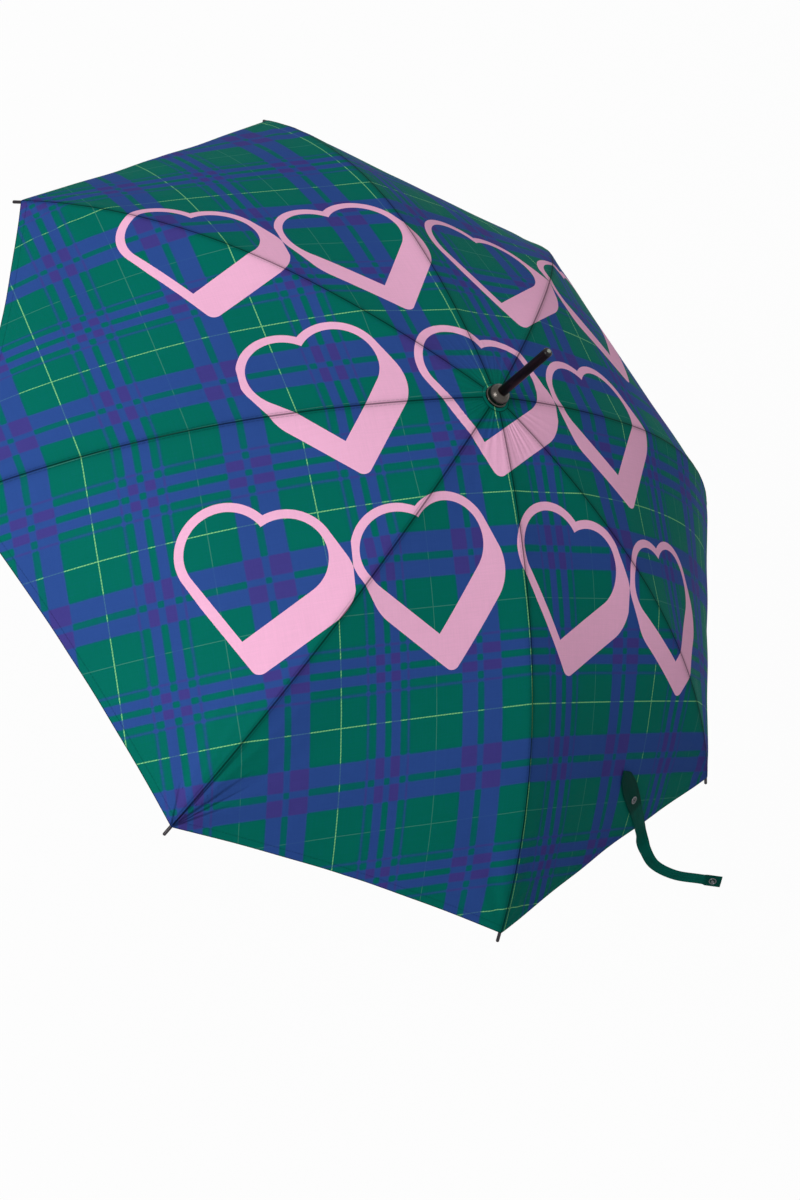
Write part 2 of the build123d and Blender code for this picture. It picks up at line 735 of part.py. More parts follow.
facing = on_hem(*tail_facing) - on_hem(0, 0, 0)
tail_start = patch_end + patch_way.normalized() * strap_split_gap
tail_line = [tail_start] + [on_hem(*point) for point in tail_points]
with BuildPart() as strap_tail:
    for index, point in enumerate(tail_line):
        before = tail_line[max(index - 1, 0)]
        after = tail_line[min(index + 1, len(tail_line) - 1)]
        way = patch_way.normalized() if index == 0 else (after - before).normalized()
        turned_out = min(index / tail_turn_over, 1.0)
        normal = hem_frame.z_dir * (1 - turned_out) + facing.normalized() * turned_out
        with BuildSketch(Plane(origin=point, x_dir=way.cross(normal), z_dir=way)):
            Rectangle(strap_width, strap_cloth)
    loft(ruled=True)
keep(strap_tail, "strap_tail")


def snap(centre, normal):
    """Half of a press stud: a round button with a small boss."""
    with BuildPart() as piece:
        with BuildSketch(Plane(origin=centre, z_dir=normal)):
            Circle(snap_radius)
        extrude(amount=snap_height)
        top = piece.faces().sort_by(Axis(centre, normal))[-1]
        fillet(top.edges(), snap_height * snap_rounding)
        with BuildSketch(Plane(origin=centre + normal * snap_height, z_dir=normal)):
            Circle(snap_boss_radius)
        extrude(amount=snap_boss_height)
    return piece


socket_share = 1 - socket_from_hem / patch_length
socket_along = strap_root[0] + patch_run[0] * socket_share
socket_down = strap_root[1] + patch_run[1] * socket_share
socket_foot, socket_slope = on_cloth(socket_along, socket_down, lift + strap_ease)
strap_out = (cos(strap_middle), sin(strap_middle))
socket_normal = Vector(
    strap_out[0] * sin(socket_slope), strap_out[1] * sin(socket_slope), cos(socket_slope)
)
socket_centre = socket_foot + socket_normal * (strap_cloth / 2 + cloth_gap)
keep(snap(socket_centre, socket_normal), "snap_socket")
last_run = (tail_line[-1] - tail_line[-2]).normalized()
tail_normal = (facing - last_run * facing.dot(last_run)).normalized()
stud_lift = strap_cloth / 2 + press_clearance
stud_centre = tail_line[-1] - last_run * stud_from_end + tail_normal * stud_lift
keep(snap(stud_centre, tail_normal), "snap_stud")
print("strap patch", patch_length, "tail hinge", tail_start, "across", patch_side)
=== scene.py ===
# Stick umbrella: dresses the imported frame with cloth, print, finishes, lights and a camera.
# Everything is in metres, with the origin in the middle of the grip and +Z up the shaft.
from math import asin, atan, atan2, cos, exp, hypot, pi, radians, sin, sqrt, tan

import bpy
from mathutils import Matrix, Vector


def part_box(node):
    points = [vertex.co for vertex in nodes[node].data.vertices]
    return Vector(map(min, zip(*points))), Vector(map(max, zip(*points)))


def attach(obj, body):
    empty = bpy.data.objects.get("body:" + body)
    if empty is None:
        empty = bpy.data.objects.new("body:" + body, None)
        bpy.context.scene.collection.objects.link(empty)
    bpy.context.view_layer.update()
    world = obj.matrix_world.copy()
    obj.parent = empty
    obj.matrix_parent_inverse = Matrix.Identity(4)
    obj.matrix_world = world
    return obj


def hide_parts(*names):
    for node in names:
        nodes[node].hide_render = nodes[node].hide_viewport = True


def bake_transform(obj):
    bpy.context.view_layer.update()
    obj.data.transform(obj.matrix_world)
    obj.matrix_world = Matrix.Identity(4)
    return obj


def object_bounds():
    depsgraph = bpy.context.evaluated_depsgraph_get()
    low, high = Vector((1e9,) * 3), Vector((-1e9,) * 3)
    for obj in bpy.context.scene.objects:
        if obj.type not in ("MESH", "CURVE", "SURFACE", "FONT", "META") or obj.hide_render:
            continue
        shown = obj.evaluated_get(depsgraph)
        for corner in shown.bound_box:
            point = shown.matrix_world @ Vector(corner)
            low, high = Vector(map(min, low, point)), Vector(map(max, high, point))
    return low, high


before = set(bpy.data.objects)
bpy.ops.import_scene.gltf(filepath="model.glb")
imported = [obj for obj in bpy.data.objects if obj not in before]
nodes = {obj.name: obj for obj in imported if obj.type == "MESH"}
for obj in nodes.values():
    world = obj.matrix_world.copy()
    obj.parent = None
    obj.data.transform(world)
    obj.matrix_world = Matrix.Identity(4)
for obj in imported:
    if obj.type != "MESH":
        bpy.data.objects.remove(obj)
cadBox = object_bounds()
ribCount = 8
ribs = range(1, ribCount + 1)
halfGore = pi / ribCount
narrowing = cos(halfGore)  # a gore's middle is nearer to the shaft than its ribs
upright = Vector((0, 0, 1))
print("frame loaded with", len(nodes), "nodes")


# Level direction away from the shaft, at an angle round it.
def outAt(angle):
    return Vector((cos(angle), sin(angle), 0))


# Level direction square to outAt, the way that angles grow.
def roundAt(angle):
    return Vector((-sin(angle), cos(angle), 0))


# Normal of a surface that falls away along out, and its downward direction.
def leaning(out, slope):
    return out * sin(slope) + upright * cos(slope), out * cos(slope) - upright * sin(slope)


# camera
view = {
    "place": (-1.6966, 0.3758, 2.2714),
    "aim": (-0.1983, -0.0533, 0.55),
    "roll": 51.74,  # degrees anticlockwise, as the umbrella lies in the view
    "lens": 66.56,
    "sensor": 36.0,
    "clip": (0.05, 60.0),
}


def addCamera():
    data = bpy.data.cameras.new("mainCamera")
    data.sensor_fit = "VERTICAL"
    data.sensor_height = view["sensor"]
    data.lens = view["lens"]
    data.clip_start, data.clip_end = view["clip"]
    camera = bpy.data.objects.new("mainCamera", data)
    bpy.context.scene.collection.objects.link(camera)
    ahead = Vector(view["aim"]) - Vector(view["place"])
    level = ahead.to_track_quat("-Z", "Y").to_matrix().to_4x4()
    turn = Matrix.Rotation(radians(view["roll"]), 4, "Z")
    camera.matrix_world = Matrix.Translation(view["place"]) @ level @ turn
    bpy.context.scene.camera = camera


addCamera()
print("camera placed")


# small helpers for materials
# Screen colour, 0 to 255, as the colour that a shader takes.
def linear(red, green, blue):
    found = []
    for share in (red / 255, green / 255, blue / 255):
        found.append(share / 12.92 if share <= 0.04045 else ((share + 0.055) / 1.055) ** 2.4)
    return (*found, 1.0)


def newFinish(name):
    made = bpy.data.materials.new(name)
    made.use_nodes = True
    return made, made.node_tree, made.node_tree.nodes["Principled BSDF"]


# Put a number, a colour or another node's output into a socket.
def feed(tree, socket, value):
    if isinstance(value, bpy.types.NodeSocket):
        tree.links.new(value, socket)
    else:
        socket.default_value = value


# The same for several sockets of a node, by their names.
def feedAll(tree, node, values):
    for name, value in values.items():
        feed(tree, node.inputs[name], value)


def calc(tree, operation, *values):
    node = tree.nodes.new("ShaderNodeMath")
    node.operation = operation
    for socket, value in zip(node.inputs, values):
        feed(tree, socket, value)
    return node.outputs[0]


# One operation over three values or more.
def chain(tree, operation, first, *others):
    for other in others:
        first = calc(tree, operation, first, other)
    return first


# start plus each form times its weight, by the forms' names.
def weighted(tree, start, forms, weights):
    for name, weight in weights.items():
        start = calc(tree, "MULTIPLY_ADD", forms[name], weight, start)
    return start


# shade with a share of it taken off where each form is.
def darkened(tree, shade, forms, shares):
    for name, share in shares.items():
        left = calc(tree, "MULTIPLY_ADD", forms[name], -share, 1.0)
        shade = calc(tree, "MULTIPLY", shade, left)
    return shade


# 1 on a line that lies this far in from an edge.
def onLine(tree, fromEdge, inset, halfWidth):
    off = calc(tree, "ABSOLUTE", calc(tree, "SUBTRACT", fromEdge, inset))
    return calc(tree, "LESS_THAN", off, halfWidth)


def blendColour(tree, share, first, second, mode="MIX"):
    node = tree.nodes.new("ShaderNodeMix")
    node.data_type = "RGBA"
    node.blend_type = mode
    feed(tree, node.inputs["Factor"], share)
    feed(tree, node.inputs[6], first)
    feed(tree, node.inputs[7], second)
    return node.outputs[2]


# stops are (place, colour) or (place, grey level).
def ramp(tree, share, stops):
    node = tree.nodes.new("ShaderNodeValToRGB")
    band = node.color_ramp
    band.elements.remove(band.elements[1])
    for index, (place, colour) in enumerate(stops):
        element = band.elements.new(place) if index else band.elements[0]
        element.position = place
        element.color = colour if hasattr(colour, "__len__") else (colour, colour, colour, 1)
    feed(tree, node.inputs[0], share)
    return node.outputs[0]


# scale is one number, or three to stretch the pattern.
def noise(tree, place, scale, detail=2.0, roughness=0.5):
    if isinstance(scale, tuple):
        stretch = tree.nodes.new("ShaderNodeMapping")
        feedAll(tree, stretch, {"Vector": place, "Scale": scale})
        place, scale = stretch.outputs[0], 1.0
    node = tree.nodes.new("ShaderNodeTexNoise")
    facts = {"Vector": place, "Scale": scale, "Detail": detail, "Roughness": roughness}
    feedAll(tree, node, facts)
    return node.outputs["Fac"]


def bump(tree, shader, height, depth):
    node = tree.nodes.new("ShaderNodeBump")
    feedAll(tree, node, {"Distance": depth, "Strength": 1.0, "Height": height})
    feed(tree, shader.inputs["Normal"], node.outputs[0])


def objectPlace(tree):
    return tree.nodes.new("ShaderNodeTexCoord").outputs["Object"]


def uvPair(tree, layer):
    node = tree.nodes.new("ShaderNodeUVMap")
    node.uv_map = layer
    parts = tree.nodes.new("ShaderNodeSeparateXYZ")
    tree.links.new(node.outputs[0], parts.inputs[0])
    return parts.outputs[0], parts.outputs[1]


# Colour, roughness, gloss and relief of a cloth, by its forms and its facts.
def feedCloth(tree, shader, colour, forms, facts):
    rough = weighted(tree, facts["roughness"], forms, facts["roughFrom"])
    looks = {"Base Color": colour, "Roughness": rough, "Specular IOR Level": facts["shine"]}
    feedAll(tree, shader, looks)
    bump(tree, shader, weighted(tree, 0.0, forms, facts["heightFrom"]), facts["bumpDepth"])


# 1 on the stitches of a row and 0 in the gaps between them, by the way gone along it.
def stitchDashes(tree, gone, facts):
    place = calc(tree, "PINGPONG", gone, facts["stitchPitch"])
    return calc(tree, "GREATER_THAN", place, facts["stitchGap"])


# Two measures on a flat cloth as a place for the noise.
def flatPlace(tree, first, second):
    node = tree.nodes.new("ShaderNodeCombineXYZ")
    feed(tree, node.inputs[0], first)
    feed(tree, node.inputs[1], second)
    return node.outputs[0]


# Fine diagonal ribs of a twill, from -1 to 1.
def twillWave(tree, diagonal, pitch):
    return calc(tree, "SINE", calc(tree, "MULTIPLY", diagonal, 2 * pi / pitch))


# small helpers for meshes
# Smooth mesh; kinds gives each face's finish, and edges sharper than some degrees stay sharp.
def smoothMesh(name, verts, faces, kinds, sharp):
    mesh = bpy.data.meshes.new(name)
    mesh.from_pydata([tuple(v) for v in verts], [], faces)
    for polygon, kind in zip(mesh.polygons, kinds):
        polygon.material_index = kind
        polygon.use_smooth = True
    mesh.set_sharp_from_angle(angle=radians(sharp))
    return mesh


# Closed thin shell, its upper face first, and the area of that face. spotAt(i, j) gives a point
# of the upper face, its normal, and a pair for each UV layer.
def shellMesh(name, rows, columns, spotAt, thickness, layers, flip=False):
    spots = [spotAt(i, j) for i in range(rows + 1) for j in range(columns + 1)]
    count = len(spots)
    verts = [spot[0] for spot in spots] + [spot[0] - spot[1] * thickness for spot in spots]

    def at(i, j):
        return i * (columns + 1) + j

    faces, kinds, area = [], [], 0.0
    for i in range(rows):
        for j in range(columns):
            quad = [at(i, j), at(i + 1, j), at(i + 1, j + 1), at(i, j + 1)]
            a, b, c, d = (verts[v] for v in quad)
            area += ((c - a).cross(d - b)).length / 2
            if flip:
                quad.reverse()
            faces += [quad, [v + count for v in reversed(quad)]]
            kinds += [0, 1]
    ring = [at(i, 0) for i in range(rows + 1)] + [at(rows, j) for j in range(1, columns + 1)]
    ring += [at(i, columns) for i in range(rows - 1, -1, -1)]
    ring += [at(0, j) for j in range(columns - 1, 0, -1)]
    for here, there in zip(ring, ring[1:] + ring[:1]):
        side = [here, here + count, there + count, there]
        faces.append(side[::-1] if flip else side)
        kinds.append(0)
    mesh = smoothMesh(name, verts, faces, kinds, 55)
    for index, layer in enumerate(layers, 2):
        made = mesh.uv_layers.new(name=layer)
        for loop in mesh.loops:
            made.data[loop.index].uv = spots[loop.vertex_index % count][index]
    mesh.validate()
    return mesh, area


def putIn(mesh, *finishes):
    piece = bpy.data.objects.new(mesh.name, mesh)
    bpy.context.scene.collection.objects.link(piece)
    for finish in finishes:
        mesh.materials.append(finish)
    return piece


# canopy cloth: the line of a rib, and the gores bent between the ribs
canopy = {
    "capTop": 0.013,  # from the apex up to the top of the cap
    "innerSlope": 5.8,  # degrees, where the cloth leaves the cap
    "innerBend": 1.032,
    "innerTurn": 13.3,
    "outerBend": 0.661,
    "radius": 0.516,
    "hemHollow": 0.005,
    "startRadius": 0.0105,
    "thickness": 0.0004,
    "rows": 92,
    "columns": 38,
    "rowCrowding": 0.15,  # rows lie closer together at the hem
    "columnCrowding": 1.35,  # and columns at the rib
    "blendWidth": 0.065,
    "pieces": "canvas",
    # small forms: a depth, then the lengths over which it waves, comes in or dies away
    "seamRound": 0.0014,  # how softly the cloth turns over a rib
    "seamHold": 0.004,  # the stitches hold the cloth this far from the seam
    "sag": 0.0022,
    "ripple": 0.0006,
    "rippleTurns": (31, 14),  # radians for each metre from the axis
    "pucker": 0.00022,
    "puckerWaves": (0.021, 0.034),
    "puckerReach": 0.011,
    "gather": 0.00042,
    "gatherStart": 0.03,
    "gatherReach": 0.06,
    "tipFold": 0.001,
    "tipHold": 0.006,
    "tipStart": 0.03,
    "tipReach": 0.085,
    "creasedTip": (4, 0.0034),  # rib whose tip is creased most, and how deep
    "creaseStart": 0.012,
    "creaseReach": 0.075,
    "hemFlutter": 0.0007,
    "hemWave": 0.118,
    "hemReach": 0.05,
}
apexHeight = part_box("cap")[1].z - canopy["capTop"]
startSlope = radians(canopy["innerSlope"])
kneeSlope = startSlope + radians(canopy["innerTurn"])
kneeRadius = canopy["innerBend"] * (sin(kneeSlope) - sin(startSlope))


# Length, drop and slope on an arc that leaves at a slope, this far out from where it leaves.
def onArc(slope, bend, distance):
    after = asin(sin(slope) + distance / bend)
    return bend * (after - slope), bend * (cos(slope) - cos(after)), after


kneeLength, kneeDrop, _ = onArc(startSlope, canopy["innerBend"], kneeRadius)


# Length along a rib, height and slope where it is this far from the shaft's axis.
def ribLine(radius):
    if radius <= kneeRadius:
        length, drop, slope = onArc(startSlope, canopy["innerBend"], radius)
    else:
        length, drop, slope = onArc(kneeSlope, canopy["outerBend"], radius - kneeRadius)
        length, drop = kneeLength + length, kneeDrop + drop
    return length, apexHeight - drop, slope


ribLength, hemHeight, _ = ribLine(canopy["radius"])
hemDistance = canopy["radius"] * narrowing  # from the axis to the middle of a straight hem
crownDistance = canopy["startRadius"] * narrowing


# Slope of a gore along its middle, this far from the axis.
def goreLean(distance):
    return atan(tan(ribLine(distance / narrowing)[2]) / narrowing)


# Point on a gore and its normal: distance from the axis along its middle, aside from that line,
# lifted off the cloth.
def goreSpot(middle, distance, aside, lift=0.0):
    out = outAt(middle)
    height = ribLine(distance / narrowing)[1]
    normal, _ = leaning(out, goreLean(distance))
    return out * distance + roundAt(middle) * aside + upright * height + normal * lift, normal


# Distance of the hem along the gore's middle, at a share of the way from there to the rib.
def hemAt(share):
    return hemDistance - canopy["hemHollow"] * (1 - share * share)


# Grows from 0 to 1 over a length.
def rising(value, length):
    return min(value / length, 1.0)


# Dies away from 1 over a length.
def fading(value, length):
    return exp(-value / length)


# Small forms of taut cloth. share is 1 at the rib and 0 in the gore's middle, tall is 0 at the
# crown and 1 at the hem. The bare numbers set the waves out of step from one gore to the next.
def clothLift(rib, gore, distance, share, tall, hem):
    aside = share * distance * tan(halfGore)
    offRib = distance * sin(halfGore) * (1 - share)
    fromHem = hem - distance
    slack = 1 - share * share
    # the turn over the rib
    tilt = tan(goreLean(distance)) * sin(halfGore)
    lift = -tilt * (hypot(offRib, canopy["seamRound"]) - offRib)
    # sag, and broad ripples on it
    lift -= canopy["sag"] * slack * sin(pi * tall ** 0.9)
    first, second = canopy["rippleTurns"]
    ripple = sin(first * distance + 1.7 * gore) * sin(second * distance + 2.4 * gore)
    lift += canopy["ripple"] * slack * ripple
    # short waves held by the seam's stitches
    first, second = canopy["puckerWaves"]
    wave = sin(2 * pi * distance / first + gore)
    wave += 0.6 * sin(2 * pi * distance / second + 2 * gore)
    near = rising(offRib, canopy["seamHold"]) * fading(offRib, canopy["puckerReach"])
    lift += canopy["pucker"] * wave * near * rising(tall, 1 / 6)
    # gathers that run out from the crown
    turn = share * pi
    gather = 0.6 * sin(9 * turn + 2.6 * gore) * sin(1.3 * gore + 3 * share)
    gather += sin(5 * turn + 1.9 * gore)
    near = rising(distance, canopy["gatherStart"]) * fading(distance, canopy["gatherReach"])
    lift += canopy["gather"] * gather * slack * near
    # folds that run in from the tip
    toTip = hypot(fromHem, offRib)
    angle = atan2(offRib, fromHem + 1e-6)  # a hair more, for the very tip
    near = rising(toTip, canopy["tipStart"]) * fading(toTip, canopy["tipReach"])
    fan = sin(9 * angle + 1.3 * gore) * near
    lift += canopy["tipFold"] * fan * rising(offRib, canopy["tipHold"])
    creased, depth = canopy["creasedTip"]
    if rib == creased:
        ridges = 1 - abs(sin(11 * angle + 0.7)) ** 0.7  # narrow, with wide flat ground between
        near = rising(toTip, canopy["creaseStart"]) * fading(toTip, canopy["creaseReach"])
        near *= fading(angle, 0.7) * rising(offRib, canopy["seamHold"])
        lift += depth * ridges * near
    # the hem between the tips
    flutter = sin(2 * pi * aside / canopy["hemWave"] + 0.9 * gore)
    flutter *= cos(0.5 * pi * share) * fading(fromHem, canopy["hemReach"])
    return lift + canopy["hemFlutter"] * slack * flutter


# the print: a woven-look check, and outlined hearts with a block shadow
sett = {
    "turn": 46.0,
    "repeatAcross": 0.2235,
    "repeatAlong": 0.2247,
    "startAcross": 0.453,  # a fine yellow line
    "startAlong": -0.3293,
    # share of the repeat where each stripe starts: 1 is blue, 0 is green
    "stripes": [
        (0.131, 0.68), (0.147, 0.04), (0.181, 1.0), (0.229, 0.04), (0.259, 1.0), (0.309, 0.04),
        (0.341, 0.68), (0.357, 0.0), (0.630, 1.0), (0.712, 0.18), (0.744, 1.0), (0.842, 0.0),
    ],
    "stripeEdge": 0.0052,
    "threadMix": 0.16,  # how much single threads stray from their stripe's colour
    "fineLine": 0.0024,  # half its width
    "fineOverBlue": 0.14,
    "fineTwill": 0.0017,
    "fineGap": 0.3,  # share of the twill where the fine line is faint
    "fineFaint": 0.45,
    "fineClear": 0.95,
    "paleLine": 0.0024,
    "palePlace": 0.495,
    "paleShown": 0.3,
    "green": (2, 109, 94),
    "teal": (13, 96, 111),
    "blue": (45, 78, 148),
    "violet": (67, 61, 137),
    # mean of the two ways' levels, and the colour there
    "mixes": [(0.0, "green"), (0.225, "teal"), (0.45, "blue"), (0.66, "blue"), (0.95, "violet")],
    "fineColour": (136, 214, 140),
    "paleColour": (92, 160, 140),
}
hearts = {
    "turn": -6.0,  # degrees, of the rows on the print
    "pitch": (0.186, 0.204),
    "reach": (0.34, 0.25),  # how far from the crown hearts are printed, across and up
    "width": 0.146,
    "unitWidth": 1.207,  # of the heart whose distance is worked out
    "unitMiddle": 0.56,  # height of its middle over its foot
    "outline": 0.0095,
    "shadow": (0.016, -0.027),
    "shadowSteps": 6,
    "tilt": 12.0,
    "colour": (252, 188, 222),
}
printAcross = roundAt(radians(sett["turn"])).to_2d()
printAlong = outAt(radians(sett["turn"])).to_2d()


def onPrint(flat):
    return flat.dot(printAcross), flat.dot(printAlong)


# Where a point of a gore lies on the flat print.
def printSpot(middle, distance, aside):
    reach = distance / narrowing
    flat = (outAt(middle) * distance + roundAt(middle) * aside).to_2d()
    return onPrint(flat * (ribLine(reach)[0] / reach))


# Distance from the edge of a heart whose foot is at the origin and whose lobes are round
# about (0.25, 0.75).
def heartGroup():
    tree = bpy.data.node_groups.new("heartDistance", "ShaderNodeTree")
    for name, way in (("Across", "INPUT"), ("Up", "INPUT"), ("Distance", "OUTPUT")):
        tree.interface.new_socket(name, in_out=way, socket_type="NodeSocketFloat")
    inside = tree.nodes.new("NodeGroupInput")
    outside = tree.nodes.new("NodeGroupOutput")
    across = calc(tree, "ABSOLUTE", inside.outputs[0])
    up = inside.outputs[1]
    total = calc(tree, "ADD", across, up)

    # squared distance from a spot
    def squaredFrom(spotAcross, spotUp):
        a = calc(tree, "SUBTRACT", across, spotAcross)
        b = calc(tree, "SUBTRACT", up, spotUp)
        return calc(tree, "MULTIPLY_ADD", a, a, calc(tree, "MULTIPLY", b, b))

    lobe = calc(tree, "SUBTRACT", calc(tree, "SQRT", squaredFrom(0.25, 0.75)), sqrt(2) / 4)
    half = calc(tree, "MULTIPLY", calc(tree, "MAXIMUM", total, 0.0), 0.5)
    nearest = calc(tree, "MINIMUM", squaredFrom(0.0, 1.0), squaredFrom(half, half))
    side = calc(tree, "SIGN", calc(tree, "SUBTRACT", across, up))
    edge = calc(tree, "MULTIPLY", calc(tree, "SQRT", nearest), side)
    pick = tree.nodes.new("ShaderNodeMix")
    feed(tree, pick.inputs[0], calc(tree, "GREATER_THAN", total, 1.0))
    feed(tree, pick.inputs[2], edge)
    feed(tree, pick.inputs[3], lobe)
    tree.links.new(pick.outputs[0], outside.inputs[0])
    return tree


heartShape = heartGroup()


def heartDistance(tree, across, up):
    group = tree.nodes.new("ShaderNodeGroup")
    group.node_tree = heartShape
    feed(tree, group.inputs[0], across)
    feed(tree, group.inputs[1], up)
    return group.outputs[0]


# 1 where the pink outline or block shadow is printed.
def heartMask(tree, across, along):
    turn = radians(hearts["turn"])
    tilt = radians(hearts["tilt"])
    wide, tall = hearts["pitch"]
    shadowRight, shadowUp = hearts["shadow"]
    unit = hearts["width"] / hearts["unitWidth"]
    # place among the rows, where a heart's middle is on the crown
    right = calc(tree, "MULTIPLY_ADD", along, sin(turn), wide / 2)
    right = calc(tree, "MULTIPLY_ADD", across, -cos(turn), right)
    up = calc(tree, "MULTIPLY_ADD", along, cos(turn), tall / 2)
    up = calc(tree, "MULTIPLY_ADD", across, sin(turn), up)
    line = calc(tree, "FLOOR", calc(tree, "DIVIDE", up, tall))
    odd = calc(tree, "FLOORED_MODULO", line, 2.0)
    shifted = calc(tree, "MULTIPLY_ADD", odd, 0.5, calc(tree, "DIVIDE", right, wide))
    column = calc(tree, "FLOOR", shifted)
    midColumn = calc(tree, "MULTIPLY_ADD", odd, -0.5, calc(tree, "ADD", column, 0.5))
    midRight = calc(tree, "MULTIPLY", midColumn, wide)
    midUp = calc(tree, "MULTIPLY", calc(tree, "ADD", line, 0.5), tall)
    inRight = calc(tree, "COMPARE", midRight, wide / 2, hearts["reach"][0])
    inUp = calc(tree, "COMPARE", midUp, tall / 2, hearts["reach"][1])

    # distance from a heart's middle in units; the shadow moves that middle
    def inUnits(place, middle, shadow):
        place = calc(tree, "ADD", calc(tree, "SUBTRACT", place, middle), shadow / 2)
        return calc(tree, "DIVIDE", place, unit)

    x, y = inUnits(right, midRight, shadowRight), inUnits(up, midUp, shadowUp)
    # tilted by turns to either side
    byTurns = calc(tree, "FLOORED_MODULO", calc(tree, "ADD", column, odd), 2.0)
    swing = calc(tree, "MULTIPLY_ADD", byTurns, 2 * tilt, -tilt)
    cosine, sine = calc(tree, "COSINE", swing), calc(tree, "SINE", swing)
    distances = []
    for step in range(hearts["shadowSteps"]):
        share = step / (hearts["shadowSteps"] - 1)
        dx = calc(tree, "SUBTRACT", x, share * shadowRight / unit)
        dy = calc(tree, "SUBTRACT", y, share * shadowUp / unit)
        turnedX = calc(tree, "MULTIPLY_ADD", dx, cosine, calc(tree, "MULTIPLY", dy, sine))
        turnedY = calc(tree, "MULTIPLY_ADD", dy, cosine, hearts["unitMiddle"])
        turnedY = calc(tree, "SUBTRACT", turnedY, calc(tree, "MULTIPLY", dx, sine))
        distances.append(heartDistance(tree, turnedX, turnedY))
    nearest = chain(tree, "MINIMUM", *distances)
    outline = calc(tree, "LESS_THAN", nearest, hearts["outline"] / unit)
    body = calc(tree, "GREATER_THAN", distances[0], 0.0)
    return chain(tree, "MULTIPLY", outline, body, inRight, inUp)


# Stops of a ramp whose stripes blend over a narrow edge.
def softStripes():
    stops, level = [(0.0, 0.0)], 0.0
    for place, nextLevel in sett["stripes"]:
        stops += [(place - sett["stripeEdge"], level), (place + sett["stripeEdge"], nextLevel)]
        level = nextLevel
    return stops


# The check without the hearts.
def checkColour(tree, across, along, threadNoise):
    first = calc(tree, "SUBTRACT", sett["startAcross"], across)
    second = calc(tree, "SUBTRACT", along, sett["startAlong"])
    phases = [
        calc(tree, "FRACT", calc(tree, "DIVIDE", first, sett["repeatAcross"])),
        calc(tree, "FRACT", calc(tree, "DIVIDE", second, sett["repeatAlong"])),
    ]
    levels = [ramp(tree, phase, softStripes()) for phase in phases]
    depth = calc(tree, "MULTIPLY", calc(tree, "ADD", *levels), 0.5)
    for threads in threadNoise:
        stray = calc(tree, "SUBTRACT", threads, 0.5)
        depth = calc(tree, "MULTIPLY_ADD", stray, sett["threadMix"], depth)
    colour = ramp(tree, depth, [(place, linear(*sett[name])) for place, name in sett["mixes"]])
    twill = calc(tree, "PINGPONG", calc(tree, "ADD", across, along), sett["fineTwill"])
    dash = calc(tree, "GREATER_THAN", twill, sett["fineTwill"] * sett["fineGap"])
    clearer = sett["fineClear"] - sett["fineFaint"]
    dash = calc(tree, "MULTIPLY_ADD", dash, clearer, sett["fineFaint"])
    fine, pale = 0.0, 0.0
    for phase, crossing in zip(phases, reversed(levels)):
        # a fine thread shows over green and hides under blue
        shown = calc(tree, "MULTIPLY_ADD", crossing, sett["fineOverBlue"] - 1.0, 1.0)
        onFine = calc(tree, "LESS_THAN", calc(tree, "PINGPONG", phase, 0.5), sett["fineLine"])
        fine = calc(tree, "MAXIMUM", fine, chain(tree, "MULTIPLY", onFine, dash, shown))
        onPale = calc(tree, "COMPARE", phase, sett["palePlace"], sett["paleLine"])
        pale = calc(tree, "MAXIMUM", pale, calc(tree, "MULTIPLY", onPale, shown))
    pale = calc(tree, "MULTIPLY", pale, sett["paleShown"])
    colour = blendColour(tree, pale, colour, linear(*sett["paleColour"]))
    return blendColour(tree, fine, colour, linear(*sett["fineColour"]))


cloth = {
    "roughness": 0.61,
    "roughFrom": {"uneven": 0.1, "ink": 0.06},
    "shine": 0.022,
    "weave": 0.00055,
    "threadGrain": (620.0, 34.0),  # of the noise, across and along a thread
    "patchGrain": 7.0,
    "noiseDetail": 3.0,
    "seamLine": 0.0009,
    # how fast the painted shade beside a seam fades away
    "seamShadowReach": 0.003,
    "hemLine": 0.0009,
    "stitchFromSeam": 0.0026,
    "stitchFromHem": 0.008,
    "stitchWidth": 0.0005,
    "stitchPitch": 0.0026,
    "stitchGap": 0.0007,
    "plainShade": 0.84,
    "shadeFrom": {"threads": 0.10, "crossThreads": 0.10, "uneven": 0.12, "twill": 0.02},
    # the seam and hem lines darken as dark cloth; the seam's hollow, the stitches and the
    # creases darken as painted shade
    "darkLineAndShade": {"line": 0.62, "seamGrooveShadow": 0.36, "stitches": 0.16, "crease": 0.66},
    "heightFrom": {
        "twill": 0.25, "threads": 0.5, "crossThreads": 0.5, "stitches": -1.6, "ink": 0.3,
        "doubled": 1.2, "crease": -7.0,
    },
    "bumpDepth": 0.00012,
    "undersideShare": 0.72,
    "showThrough": 0.3,  # how much of the hearts' ink shows on the underside
    # sharp creases that run in from one rib's tip, dented by the bump and darkened with painted
    # shade: angle off the rib, length and half width
    "creases": [
        (0.055, 0.115, 0.0017), (0.30, 0.105, 0.0026), (0.43, 0.095, 0.0017),
        (0.56, 0.07, 0.0022), (-0.5, 0.05, 0.0016),
    ],
    "creaseStart": 0.003,
    "creaseFade": 0.6,
}
